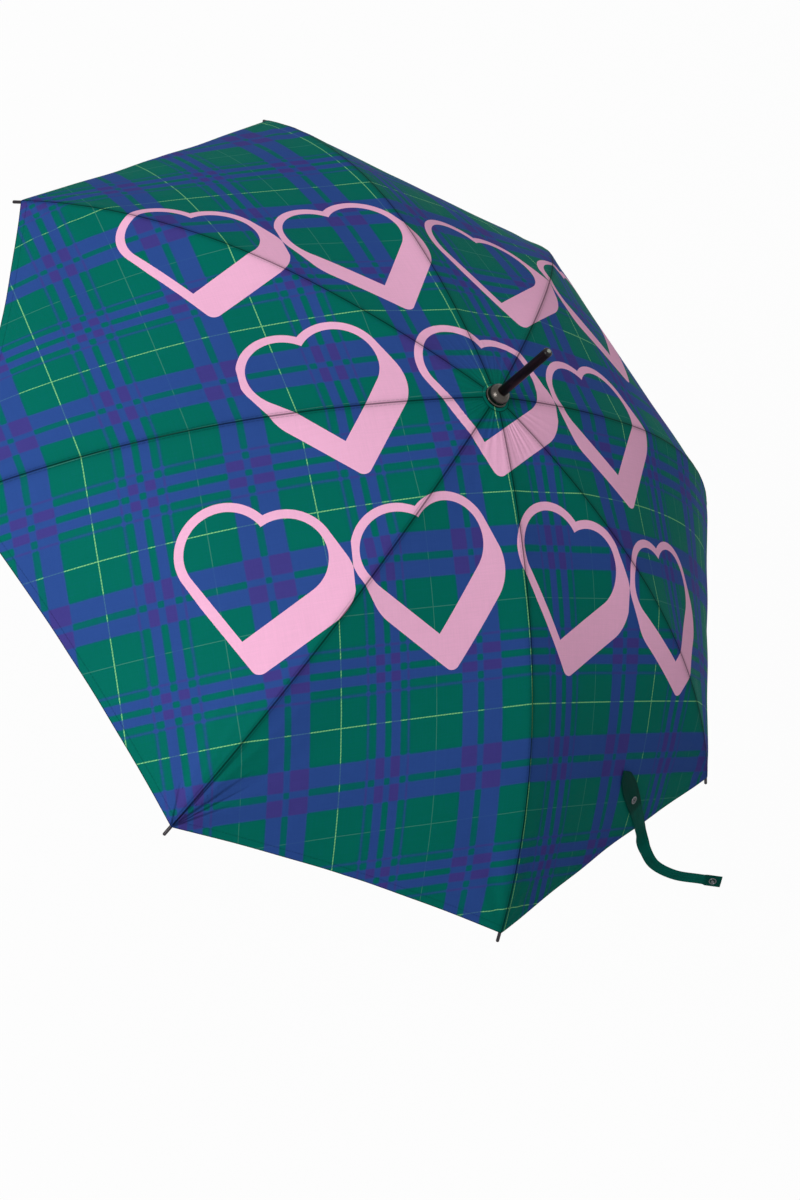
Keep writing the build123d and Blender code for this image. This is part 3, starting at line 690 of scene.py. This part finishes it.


# Share of a crease at a place on the print, fanned from the tip of the creased rib; it dents the
# cloth and paints shade into it.
def creaseMask(tree, across, along):
    turn = 2 * halfGore * canopy["creasedTip"][0]
    outward, beside = outAt(turn).to_2d(), roundAt(turn).to_2d()
    tip = onPrint(outward * ribLength)
    inX = calc(tree, "SUBTRACT", across, tip[0])
    inY = calc(tree, "SUBTRACT", along, tip[1])

    def towards(direction):
        x, y = onPrint(direction)
        return calc(tree, "MULTIPLY_ADD", inX, x, calc(tree, "MULTIPLY", inY, y))

    # 1 at nothing, 0 from reach on
    def fallingOver(distance, reach):
        left = calc(tree, "SUBTRACT", 1.0, calc(tree, "DIVIDE", distance, reach))
        return calc(tree, "MAXIMUM", left, 0.0)

    found = []
    for angle, reach, width in cloth["creases"]:
        gone = towards(beside * sin(angle) - outward * cos(angle))
        off = calc(tree, "ABSOLUTE", towards(outward * sin(angle) + beside * cos(angle)))
        fade = calc(tree, "POWER", fallingOver(gone, reach), cloth["creaseFade"])
        begun = calc(tree, "GREATER_THAN", gone, cloth["creaseStart"])
        found.append(chain(tree, "MULTIPLY", fallingOver(off, width), fade, begun))
    return chain(tree, "MAXIMUM", *found)


def clothFinish(name, underside=False):
    made, tree, shader = newFinish(name)
    across, along = uvPair(tree, "print")
    offRib, fromHem = uvPair(tree, "edges")
    place = flatPlace(tree, across, along)
    acrossGrain, alongGrain = cloth["threadGrain"]
    detail = cloth["noiseDetail"]
    threads = noise(tree, place, (acrossGrain, alongGrain, 1.0), detail)
    crossThreads = noise(tree, place, (alongGrain, acrossGrain, 1.0), detail)
    ink = heartMask(tree, across, along)
    if underside:
        ink = calc(tree, "MULTIPLY", ink, cloth["showThrough"])
    diagonal = calc(tree, "ADD", across, along)
    # seams: a dark line where two gores meet, painted shade beside it, and rows of stitches
    # beside it and along the hem
    seamLine = calc(tree, "LESS_THAN", offRib, cloth["seamLine"])
    hemLine = calc(tree, "LESS_THAN", fromHem, cloth["hemLine"])
    seamRow = onLine(tree, offRib, cloth["stitchFromSeam"], cloth["stitchWidth"])
    hemRow = onLine(tree, fromHem, cloth["stitchFromHem"], cloth["stitchWidth"])
    dashes = stitchDashes(tree, diagonal, cloth)
    # the double layer of the hem and of the seam's turned-in edge stands a little higher
    hemLayer = calc(tree, "LESS_THAN", fromHem, cloth["stitchFromHem"])
    seamLayer = calc(tree, "LESS_THAN", offRib, cloth["stitchFromSeam"])
    forms = {
        "threads": threads,
        "crossThreads": crossThreads,
        "uneven": noise(tree, place, cloth["patchGrain"], detail),
        "twill": twillWave(tree, diagonal, cloth["weave"]),
        "ink": ink,
        "line": calc(tree, "MAXIMUM", seamLine, hemLine),
        # painted shade in the hollow beside each seam
        "seamGrooveShadow": calc(tree, "EXPONENT", calc(tree, "DIVIDE", offRib, -cloth["seamShadowReach"])),
        # the stitch rows are dented by the bump and darkened with painted shade in the needle
        # dimples
        "stitches": calc(tree, "MULTIPLY", calc(tree, "MAXIMUM", seamRow, hemRow), dashes),
        "doubled": calc(tree, "MAXIMUM", hemLayer, seamLayer),
        # the creases' dent, and the painted shade along them
        "crease": creaseMask(tree, across, along),
    }
    shade = weighted(tree, cloth["plainShade"], forms, cloth["shadeFrom"])
    shade = darkened(tree, shade, forms, cloth["darkLineAndShade"])
    if underside:
        shade = calc(tree, "MULTIPLY", shade, cloth["undersideShare"])
    tone = tree.nodes.new("ShaderNodeCombineColor")
    for socket in tone.inputs[:3]:
        feed(tree, socket, shade)
    colour = checkColour(tree, across, along, (threads, crossThreads))
    colour = blendColour(tree, ink, colour, linear(*hearts["colour"]))
    colour = blendColour(tree, 1.0, colour, tone.outputs[0], "MULTIPLY")
    feedCloth(tree, shader, colour, forms, cloth)
    return made


topCloth = clothFinish("printedCloth")
underCloth = clothFinish("printedClothBack", underside=True)
print("cloth finishes made")


# Cloth from a rib to the middle of the gore before it (side -1) or after it (side 1).
def addGoreHalf(rib, side):
    word = "after" if side > 0 else "before"
    gore = (rib if side > 0 else rib - 1) % ribCount
    ribTurn = 2 * halfGore * rib
    middle = ribTurn + side * halfGore
    beside = roundAt(ribTurn)
    rows, columns = canopy["rows"], canopy["columns"]

    def spotAt(i, j):
        tall = i / rows
        tall *= 1 + canopy["rowCrowding"] * (1 - tall)
        share = 1 - (j / columns) ** canopy["columnCrowding"]  # 1 at the rib, 0 in the middle
        hem = hemAt(share)
        distance = crownDistance + (hem - crownDistance) * tall
        aside = -side * share * distance * tan(halfGore)
        lift = clothLift(rib, gore, distance, share, tall, hem)
        point, normal = goreSpot(middle, distance, aside, lift)
        if j == 0:
            point -= beside * point.dot(beside)  # the seam stays in the rib's plane
        offRib = distance * sin(halfGore) * (1 - share)
        fromHem = (hem - distance) / cos(goreLean(distance))
        return point, normal, printSpot(middle, distance, aside), (offRib, fromHem)

    name = f"{canopy['pieces']}_{rib}_{word}"
    layers = ["print", "edges"]
    mesh, area = shellMesh(name, rows, columns, spotAt, canopy["thickness"], layers, side < 0)
    piece = putIn(mesh, topCloth, underCloth)
    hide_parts(f"panel_{rib}_{word}")
    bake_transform(piece)


for rib in ribs:
    for side in (-1, 1):
        addGoreHalf(rib, side)
print("canopy made in", 2 * ribCount, "half gores")


# rosette of the same cloth under the cap
rosette = {
    "inner": 0.0053,
    "outer": 0.0172,
    "lift": 0.0001,
    "thickness": 0.00025,
    "waves": 8,
    "waveHeight": 0.00012,
    "clearOfSeam": 0.05,  # so that the cloth's seam and its stitches aren't drawn on it
    "rings": 6,
    "turns": 64,
}


def addRosette():
    inner, outer = rosette["inner"], rosette["outer"]
    rings, turns = rosette["rings"], rosette["turns"]

    def spotAt(i, j):
        radius = inner + (outer - inner) * i / rings
        angle = 2 * pi * j / turns
        length, height, slope = ribLine(radius)
        out = outAt(angle)
        wave = rosette["waveHeight"] * sin(rosette["waves"] * angle) * i / rings
        point = out * radius + upright * (height + rosette["lift"] + wave)
        edges = (rosette["clearOfSeam"], outer - radius)
        return point, leaning(out, slope)[0], onPrint(out.to_2d() * length), edges

    layers = ["print", "edges"]
    mesh, _ = shellMesh("crown_rosette", rings, turns, spotAt, rosette["thickness"], layers)
    piece = putIn(mesh, topCloth, underCloth)
    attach(piece, "frame")


addRosette()
print("rosette made")


# closing strap: sewn down as far as the hem, then a free tail that twists away
strap = {
    "rib": 6,  # it is sewn to the gore before this rib
    "middle": radians(247.5),
    "width": 0.013,
    "thickness": 0.0012,
    "lift": 0.0016,
    # along the hem, down the slope and out of the cloth, from the middle of the hem
    "sewn": [(0.0163, -0.1), (0.0265, -0.075), (0.03665, -0.05), (0.0468, -0.025), (0.057, 0.0)],
    # length from the root, and half the width there
    "outline": [
        (0.0, 0.0006), (0.011, 0.009), (0.03, 0.0122), (0.056, 0.0112), (0.075, 0.0094),
        (0.108, 0.0084), (0.145, 0.0068), (1.0, 0.0065),
    ],
    "tail": [
        (0.061, 0.016, 0.004), (0.064, 0.030, 0.008), (0.073, 0.051, 0.018),
        (0.089, 0.064, 0.037), (0.107, 0.067, 0.060), (0.123, 0.069, 0.080),
    ],
    "facing": (-0.78, 0.03, 0.62),
    "twist": 0.034,  # length past the hem over which it turns to that facing
    "cup": 0.00035,
    "cupTurns": 90,  # radians for each metre of strap
    "blendFrom": (0.0575, 0.001),
    "blendLength": 0.012,
    "steps": 96,
    "across": 10,
    "tab": 0.019,  # length folded back at the free end
    "tabWider": 1.14,
    "tabRise": 0.0004,
    # finish
    "colour": (5, 90, 78),
    "darkColour": (2, 70, 60),
    "threadGrain": (30.0, 400.0, 1.0),
    "patchGrain": 40.0,
    "noiseDetail": 3.0,
    "stitchFromEdge": 0.0016,
    "stitchWidth": 0.00035,
    "stitchPitch": 0.0016,
    "stitchGap": 0.0005,
    "stitchColour": (16, 104, 88),
    "stitchShown": 0.5,
    # the sewn root is darker for its doubled cloth and for a painted shadow as well
    "rootDoubledAndShadow": 0.5,
    "rootEnd": 0.0655,
    "rootSoft": 0.003,
    # painted shadow on the folded tab at the free end
    "tabShadow": 0.62,
    "tabSoft": 0.001,
    "roughness": 0.5,
    "roughFrom": {"uneven": 0.15},
    "shine": 0.02,
    "toneFrom": {"threads": 0.5, "uneven": 0.5},
    "heightFrom": {"twill": 0.3, "threads": 0.6, "stitches": -1.2},
    "bumpDepth": 0.00015,
}
strapOut, strapAlong = outAt(strap["middle"]), roundAt(strap["middle"])
strapNormal, strapDown = leaning(strapOut, goreLean(hemDistance))
strapHome = strapOut * hemDistance + upright * hemHeight


def onHem(along, down, out=0.0):
    return strapHome + strapAlong * along + strapDown * down + strapNormal * out


# How far the curved cloth lies above the flat plane through the hem, for a point on the panel.
def clothHeight(along, down):
    flat = onHem(along, down)
    distance = flat.dot(strapOut)
    share = along / (distance * tan(halfGore))
    hem = hemAt(share)
    tall = min((distance - crownDistance) / (hem - crownDistance), 1.0)
    lift = clothLift(strap["rib"], strap["rib"] - 1, distance, share, tall, max(hem, distance))
    return (goreSpot(strap["middle"], distance, along, lift)[0] - flat).dot(strapNormal)


# Even points on a smooth line through the given ones, and its length.
def throughPoints(points, steps):
    dense, between = [], 24
    for index in range(len(points) - 1):
        before, after = points[max(index - 1, 0)], points[min(index + 2, len(points) - 1)]
        here, there = points[index], points[index + 1]
        for step in range(between):
            t = step / between
            spot = 2 * here + (there - before) * t
            spot += (2 * before - 5 * here + 4 * there - after) * t ** 2
            spot += (3 * here - before - 3 * there + after) * t ** 3
            dense.append(spot / 2)
    dense.append(points[-1])
    reach = [0.0]
    for a, b in zip(dense, dense[1:]):
        reach.append(reach[-1] + (b - a).length)
    found, index = [], 0
    for step in range(steps + 1):
        goal = reach[-1] * step / steps
        while index < len(dense) - 2 and reach[index + 1] < goal:
            index += 1
        gone = (goal - reach[index]) / (reach[index + 1] - reach[index])
        found.append(dense[index].lerp(dense[index + 1], gone))
    return found, reach[-1]


def strapFinish(length):
    made, tree, shader = newFinish("strapCloth")
    along, across = uvPair(tree, "strap")
    place = flatPlace(tree, along, across)
    edge = calc(tree, "SUBTRACT", strap["width"] / 2, calc(tree, "ABSOLUTE", across))
    row = onLine(tree, edge, strap["stitchFromEdge"], strap["stitchWidth"])
    forms = {
        "threads": noise(tree, place, strap["threadGrain"], strap["noiseDetail"]),
        "uneven": noise(tree, place, strap["patchGrain"], strap["noiseDetail"]),
        "twill": twillWave(tree, calc(tree, "ADD", along, across), cloth["weave"]),
        "stitches": calc(tree, "MULTIPLY", row, stitchDashes(tree, along, strap)),
    }
    tones = [(0.3, linear(*strap["darkColour"])), (0.7, linear(*strap["colour"]))]
    colour = ramp(tree, weighted(tree, 0.0, forms, strap["toneFrom"]), tones)
    stitched = calc(tree, "MULTIPLY", forms["stitches"], strap["stitchShown"])
    colour = blendColour(tree, stitched, colour, linear(*strap["stitchColour"]))
    rootEnd, tabStart = strap["rootEnd"], length - strap["tab"]
    # darker at the root, for its doubled cloth and a painted shadow, and painted shadow on the
    # folded tab
    shades = [
        (rootEnd, strap["rootDoubledAndShadow"]), (rootEnd + strap["rootSoft"], 1.0),
        (tabStart - strap["tabSoft"], 1.0), (tabStart, strap["tabShadow"]),
    ]
    colour = blendColour(tree, 1.0, colour, ramp(tree, along, shades), "MULTIPLY")
    feedCloth(tree, shader, colour, forms, strap)
    return made


def halfWidthAt(gone):
    for (here, low), (there, high) in zip(strap["outline"], strap["outline"][1:]):
        if gone <= there:
            return low + (high - low) * (gone - here) / (there - here)


strapFacing = (onHem(*strap["facing"]) - strapHome).normalized()


def addStrap():
    sewn = [onHem(a, d, clothHeight(a, d) + strap["lift"]) for a, d in strap["sewn"]]
    tail = [onHem(*spot) for spot in strap["tail"]]
    rows, columns = strap["steps"], strap["across"]
    points, length = throughPoints(sewn + tail, rows)
    hemAtLength = sum((b - a).length for a, b in zip(sewn, sewn[1:]))

    def spotAt(i, j):
        gone = length * i / rows
        way = (points[min(i + 1, rows)] - points[max(i - 1, 0)]).normalized()
        turn = min(max((gone - hemAtLength) / strap["twist"], 0.0), 1.0)
        normal = strapNormal.lerp(strapFacing, turn * turn * (3 - 2 * turn))
        normal = (normal - way * normal.dot(way)).normalized()
        half, rise = halfWidthAt(gone), 0.0
        if length - gone < strap["tab"]:
            half, rise = half * strap["tabWider"], strap["tabRise"]
        across = 2 * j / columns - 1
        cupShare = 0.4 + 0.6 * sin(gone * strap["cupTurns"]) ** 2
        rise += strap["cup"] * (1 - across * across) * cupShare
        point = points[i] + way.cross(normal) * across * half + normal * rise
        return point, normal, (gone, across * half)

    thickness = strap["thickness"]
    mesh, _ = shellMesh("closing_strap", rows, columns, spotAt, thickness, ["strap"], True)
    finish = strapFinish(length)
    piece = putIn(mesh, finish, finish)
    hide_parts("strap_patch", "strap_tail")
    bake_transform(piece)
    area = sum(2 * halfWidthAt(length * i / rows) for i in range(rows)) * length / rows
    area += strap["width"] * strap["tab"]


addStrap()
print("strap made")


# finishes of the hard pieces
metal = {
    "patchGrain": 60.0,
    "brushedShare": 0.45,
    "patchShare": 0.5,
    "darkShare": 0.62,  # of the colour, where it is dull
    "darkFrom": 0.25,
    "brightFrom": 0.62,
    "roughSpread": 0.18,
    "bumpDepth": 0.00004,
}
paint = {"fineTimes": 14, "roughSpread": 0.1, "coatRoughness": 0.08}
lacquer = {
    "stops": [(0.34, (6, 3, 4)), (0.52, (12, 5, 7)), (0.7, (32, 11, 13))],
    "poreTimes": 6,
    "poreShare": 0.2,
    "roughness": 0.24,
    "roughSpread": 0.12,
    "shine": 0.12,
    "coat": 0.16,
    "coatRoughness": 0.06,
    "bumpDepth": 0.00003,
}


# Brushed and slightly worn metal; grain is the noise stretched along the brushing.
def metalFinish(name, colour, roughness, grain):
    made, tree, shader = newFinish(name)
    place = objectPlace(tree)
    brushed = noise(tree, place, grain, 3.0)
    patches = noise(tree, place, metal["patchGrain"], 4.0, 0.6)
    bright = linear(*colour)
    dark = (*(metal["darkShare"] * part for part in bright[:3]), 1.0)
    share = calc(tree, "MULTIPLY", brushed, metal["brushedShare"])
    share = calc(tree, "MULTIPLY_ADD", patches, metal["patchShare"], share)
    tones = [(metal["darkFrom"], dark), (metal["brightFrom"], bright)]
    rough = calc(tree, "MULTIPLY_ADD", patches, metal["roughSpread"], roughness)
    looks = {"Base Color": ramp(tree, share, tones), "Metallic": 1.0, "Roughness": rough}
    feedAll(tree, shader, looks)
    bump(tree, shader, brushed, metal["bumpDepth"])
    return made


# Paint or moulded plastic with a faint unevenness.
def paintedFinish(name, colour, lighter, roughness, coat, scale, depth):
    made, tree, shader = newFinish(name)
    place = objectPlace(tree)
    patches = noise(tree, place, scale, 5.0, 0.6)
    fine = noise(tree, place, scale * paint["fineTimes"])
    tones = [(0.3, linear(*colour)), (0.75, linear(*lighter))]
    looks = {
        "Base Color": ramp(tree, patches, tones),
        "Roughness": calc(tree, "MULTIPLY_ADD", fine, paint["roughSpread"], roughness),
        "Coat Weight": coat,
        "Coat Roughness": paint["coatRoughness"],
    }
    feedAll(tree, shader, looks)
    bump(tree, shader, fine, depth)
    return made


# Dark stained wood under gloss lacquer, its grain along the shaft.
def lacquerFinish(name, grainScale):
    made, tree, shader = newFinish(name)
    place = objectPlace(tree)
    grain = noise(tree, place, grainScale, 6.0, 0.62)
    pores = noise(tree, place, tuple(lacquer["poreTimes"] * part for part in grainScale))
    share = calc(tree, "MULTIPLY", grain, 1 - lacquer["poreShare"])
    share = calc(tree, "MULTIPLY_ADD", pores, lacquer["poreShare"], share)
    tones = [(stop, linear(*colour)) for stop, colour in lacquer["stops"]]
    spread = lacquer["roughSpread"]
    looks = {
        "Base Color": ramp(tree, share, tones),
        "Roughness": calc(tree, "MULTIPLY_ADD", pores, spread, lacquer["roughness"]),
        "Specular IOR Level": lacquer["shine"],
        "Coat Weight": lacquer["coat"],
        "Coat Roughness": lacquer["coatRoughness"],
    }
    feedAll(tree, shader, looks)
    bump(tree, shader, share, lacquer["bumpDepth"])
    return made


# colour, lowest roughness and grain
capMetal = metalFinish("capNickel", (78, 74, 70), 0.19, (160, 160, 1400))
ribSteel = metalFinish("ribSteel", (58, 58, 62), 0.30, (120, 120, 120))
stretcherSteel = metalFinish("stretcherSteel", (70, 70, 74), 0.26, (120, 120, 120))
fittingSteel = metalFinish("fittingSteel", (62, 59, 62), 0.28, (200, 200, 200))
springSteel = metalFinish("springSteel", (176, 176, 178), 0.16, (300, 300, 60))
wireSteel = metalFinish("wireSteel", (150, 150, 150), 0.22, (300, 300, 300))
trimMetal = metalFinish("collarNickel", (128, 126, 124), 0.16, (160, 160, 1400))
insertMetal = metalFinish("insertNickel", (122, 124, 116), 0.26, (400, 400, 400))
snapMetal = metalFinish("snapNickel", (98, 100, 104), 0.22, (500, 500, 500))
# colour, lighter colour, lowest roughness, gloss coat, scale and depth of the unevenness
shaftPaint = paintedFinish("shaftEnamel", (16, 16, 18), (26, 26, 29), 0.25, 0.5, 90, 0.00003)
notchNylon = paintedFinish("notchNylon", (17, 17, 18), (30, 30, 32), 0.43, 0, 140, 0.00006)
snapDark = paintedFinish("snapBlack", (16, 14, 15), (34, 28, 28), 0.35, 0, 400, 0.00003)
tieThread = paintedFinish("tieThread", (8, 30, 40), (18, 48, 58), 0.7, 0, 900, 0.00005)
ferruleGloss = lacquerFinish("ferruleLacquer", (520, 520, 26))
handleGloss = lacquerFinish("handleLacquer", (300, 300, 22))

hardFinishes = [
    (capMetal, ["cap"]),
    (ferruleGloss, ["ferrule"]),
    (insertMetal, ["ferrule_insert"]),
    (shaftPaint, ["shaft", "runner_sleeve"]),
    (handleGloss, ["handle"]),
    (trimMetal, ["handle_collar", "crown_washer"]),
    (notchNylon, ["crown_notch", "runner_notch"]),
    (wireSteel, ["crown_wire", "runner_wire", "stop_pin"]),
    (springSteel, ["open_catch", "closed_catch"]),
    (ribSteel, [f"rib_{rib}" for rib in ribs]),
    (fittingSteel, [f"rib_{rib}_fittings" for rib in ribs]),
    (stretcherSteel, [f"stretcher_{rib}" for rib in ribs]),
]
for finish, names in hardFinishes:
    for name in names:
        nodes[name].data.materials.clear()
        nodes[name].data.materials.append(finish)
print("hard pieces finished:", sum(len(names) for _, names in hardFinishes))


# press stud: each half is a ringed button, turned from a section
pressStud = {
    # radius, height over the strap, and whether the face from there on is bright; millimetres
    "flange": [
        (4.4, -1.1, 0), (4.7, 0.1, 0), (4.65, 0.6, 1), (4.35, 1.05, 1), (3.95, 1.25, 1),
        (3.5, 1.1, 1), (3.25, 0.75, 0), (3.0, 0.45, 0), (2.5, 0.4, 0), (2.2, 0.5, 0),
    ],
    "socket": [(2.05, 0.95, 1), (1.75, 1.2, 1), (1.4, 1.05, 0), (1.15, 0.4, 0), (0.0, 0.35, 0)],
    "stud": [
        (1.9, 0.8, 1), (1.72, 1.4, 1), (1.85, 1.95, 1), (1.55, 2.3, 1), (0.8, 2.4, 1),
        (0.0, 2.4, 1),
    ],
    "solidHeight": 0.0023,  # of its CAD solid, whose box gives the place
    "turns": 40,
}


# Mesh turned about a line through foot, along normal; the section ends on that line.
def turnedMesh(name, section, foot, normal, turns):
    side = normal.orthogonal().normalized()
    other = normal.cross(side)
    verts, faces, kinds = [], [], []
    for radius, height, _ in section[:-1]:
        for turn in range(turns):
            angle = 2 * pi * turn / turns
            ray = side * cos(angle) + other * sin(angle)
            verts.append(foot + (ray * radius + normal * height) / 1000)
    for ring in range(len(section) - 2):
        low, high = ring * turns, (ring + 1) * turns
        for turn in range(turns):
            after = (turn + 1) % turns
            faces.append((low + turn, low + after, high + after, high + turn))
            kinds.append(section[ring][2])
    middle, top = len(verts), len(verts) - turns
    verts.append(foot + normal * section[-1][1] / 1000)
    for turn in range(turns):
        faces.append((top + turn, top + (turn + 1) % turns, middle))
        kinds.append(section[-1][2])
    faces.append(tuple(range(turns - 1, -1, -1)))
    kinds.append(0)
    return smoothMesh(name, verts, faces, kinds, 50)


def middleOf(node):
    low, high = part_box(node)
    return (low + high) / 2


def addStudHalf(node, body, half, normal):
    foot = middleOf(node) - normal * pressStud["solidHeight"] / 2
    section = pressStud["flange"] + pressStud[half]
    mesh = turnedMesh(f"{node}_ringed", section, foot, normal, pressStud["turns"])
    piece = putIn(mesh, snapDark, snapMetal)
    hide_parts(node)
    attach(piece, body)


socketDistance = middleOf("snap_socket").dot(strapOut)
socketNormal = goreSpot(strap["middle"], socketDistance, 0.0)[1]
lastRun = (onHem(*strap["tail"][-1]) - onHem(*strap["tail"][-2])).normalized()
studNormal = (strapFacing - lastRun * strapFacing.dot(lastRun)).normalized()
addStudHalf("snap_socket", "cloth_6_before", "socket", socketNormal)
addStudHalf("snap_stud", "strap_tail", "stud", studNormal)
print("press stud made")


# ties: thread wound round each rib where the seam is sewn to it
ties = {
    "places": [0.128, 0.3, 0.43],  # along the rib
    "drop": 0.0028,  # from the cloth's outer face to the middle of the rib
    "radius": 0.0018,
    "thread": 0.00036,
    "winds": 4,
    "pitch": 1.9,  # from one wind to the next, in threads
    "turns": 20,
    "around": 6,
}


# Radius at which the rib line has this length.
def radiusAtLength(length):
    low, high = 0.0, canopy["radius"]
    for _ in range(40):
        middle = (low + high) / 2
        low, high = (middle, high) if ribLine(middle)[0] < length else (low, middle)
    return low


def addTies(rib):
    verts, faces = [], []
    turns, around, thread = ties["turns"], ties["around"], ties["thread"]
    out, over = outAt(2 * halfGore * rib), roundAt(2 * halfGore * rib)
    for place in ties["places"]:
        radius = radiusAtLength(place)
        _, height, slope = ribLine(radius)
        normal, way = leaning(out, slope)
        middle = out * radius + upright * height - normal * ties["drop"]
        for wind in range(ties["winds"]):
            centre = middle + way * (wind - ties["winds"] / 2) * ties["pitch"] * thread
            first = len(verts)
            for turn in range(turns):
                a = 2 * pi * turn / turns
                ray = over * cos(a) + normal * sin(a)
                here = first + turn * around
                there = first + (turn + 1) % turns * around
                for step in range(around):
                    b = 2 * pi * step / around
                    reach = ties["radius"] + thread * cos(b)
                    verts.append(centre + ray * reach + way * thread * sin(b))
                    after = (step + 1) % around
                    faces.append((here + step, there + step, there + after, here + after))
    mesh = smoothMesh(f"rib_{rib}_ties", verts, faces, [0] * len(faces), 180)
    piece = putIn(mesh, tieThread)
    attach(piece, f"rib_{rib}")


for rib in ribs:
    addTies(rib)
print("ties made")


# floor, world and lamps
stage = {
    "floorGap": 0.004,
    "floorSize": 9.0,
    "floorColour": (0.8, 0.8, 0.8, 1),
    "floorRoughness": 0.9,
    "floorShown": 0.965,  # share of the floor's white that stays where a shadow falls
    "world": 0.285,
    "aim": (0, 0, 0.55),
    "key": {"turn": 142.0, "height": 26.0, "away": 3.2, "size": 1.4, "watts": 69.0},
    "top": {"turn": 10.0, "height": 62.0, "away": 3.0, "size": 2.2, "watts": 15.0},
}


# 1 for rays that come from the camera, or by way of gloss or glass.
def plainlySeen(tree):
    rays = tree.nodes.new("ShaderNodeLightPath").outputs
    words = ("Is Camera Ray", "Is Glossy Ray", "Is Transmission Ray")
    return chain(tree, "MAXIMUM", *(rays[word] for word in words))


def addFloor():
    size = stage["floorSize"]
    low = cadBox[0].z - stage["floorGap"]
    corners = [(-size, -size, low), (size, -size, low), (size, size, low), (-size, size, low)]
    mesh = bpy.data.meshes.new("floor")
    mesh.from_pydata(corners, [], [(0, 1, 2, 3)])
    made, tree, shader = newFinish("floorWhite")
    looks = {"Base Color": stage["floorColour"], "Roughness": stage["floorRoughness"]}
    feedAll(tree, shader, looks)
    glow = tree.nodes.new("ShaderNodeEmission")
    glow.inputs["Color"].default_value = (1, 1, 1, 1)
    mix = tree.nodes.new("ShaderNodeMixShader")
    feed(tree, mix.inputs[0], calc(tree, "MULTIPLY", plainlySeen(tree), stage["floorShown"]))
    feed(tree, mix.inputs[1], shader.outputs[0])
    feed(tree, mix.inputs[2], glow.outputs[0])
    feed(tree, tree.nodes["Material Output"].inputs["Surface"], mix.outputs[0])
    putIn(mesh, made)


def addWorld():
    world = bpy.data.worlds.new("softWhite")
    bpy.context.scene.world = world
    world.use_nodes = True
    tree = world.node_tree
    tree.nodes.clear()
    power = calc(tree, "MULTIPLY_ADD", plainlySeen(tree), 1.0 - stage["world"], stage["world"])
    back = tree.nodes.new("ShaderNodeBackground")
    feedAll(tree, back, {"Color": (1, 1, 1, 1), "Strength": power})
    out = tree.nodes.new("ShaderNodeOutputWorld")
    feed(tree, out.inputs["Surface"], back.outputs[0])


def addLamp(name, facts):
    height = radians(facts["height"])
    level = outAt(radians(facts["turn"]))
    way = level * cos(height) + upright * sin(height)
    data = bpy.data.lights.new(name, "AREA")
    data.shape = "SQUARE"
    data.size = facts["size"]
    data.energy = facts["watts"]
    lamp = bpy.data.objects.new(name, data)
    bpy.context.scene.collection.objects.link(lamp)
    lamp.location = Vector(stage["aim"]) + way * facts["away"]
    lamp.rotation_euler = (-way).to_track_quat("-Z", "Y").to_euler()


addFloor()
addWorld()
addLamp("keyLamp", stage["key"])
addLamp("topLamp", stage["top"])
bpy.context.scene.view_settings.view_transform = "Standard"
print("stage lit")
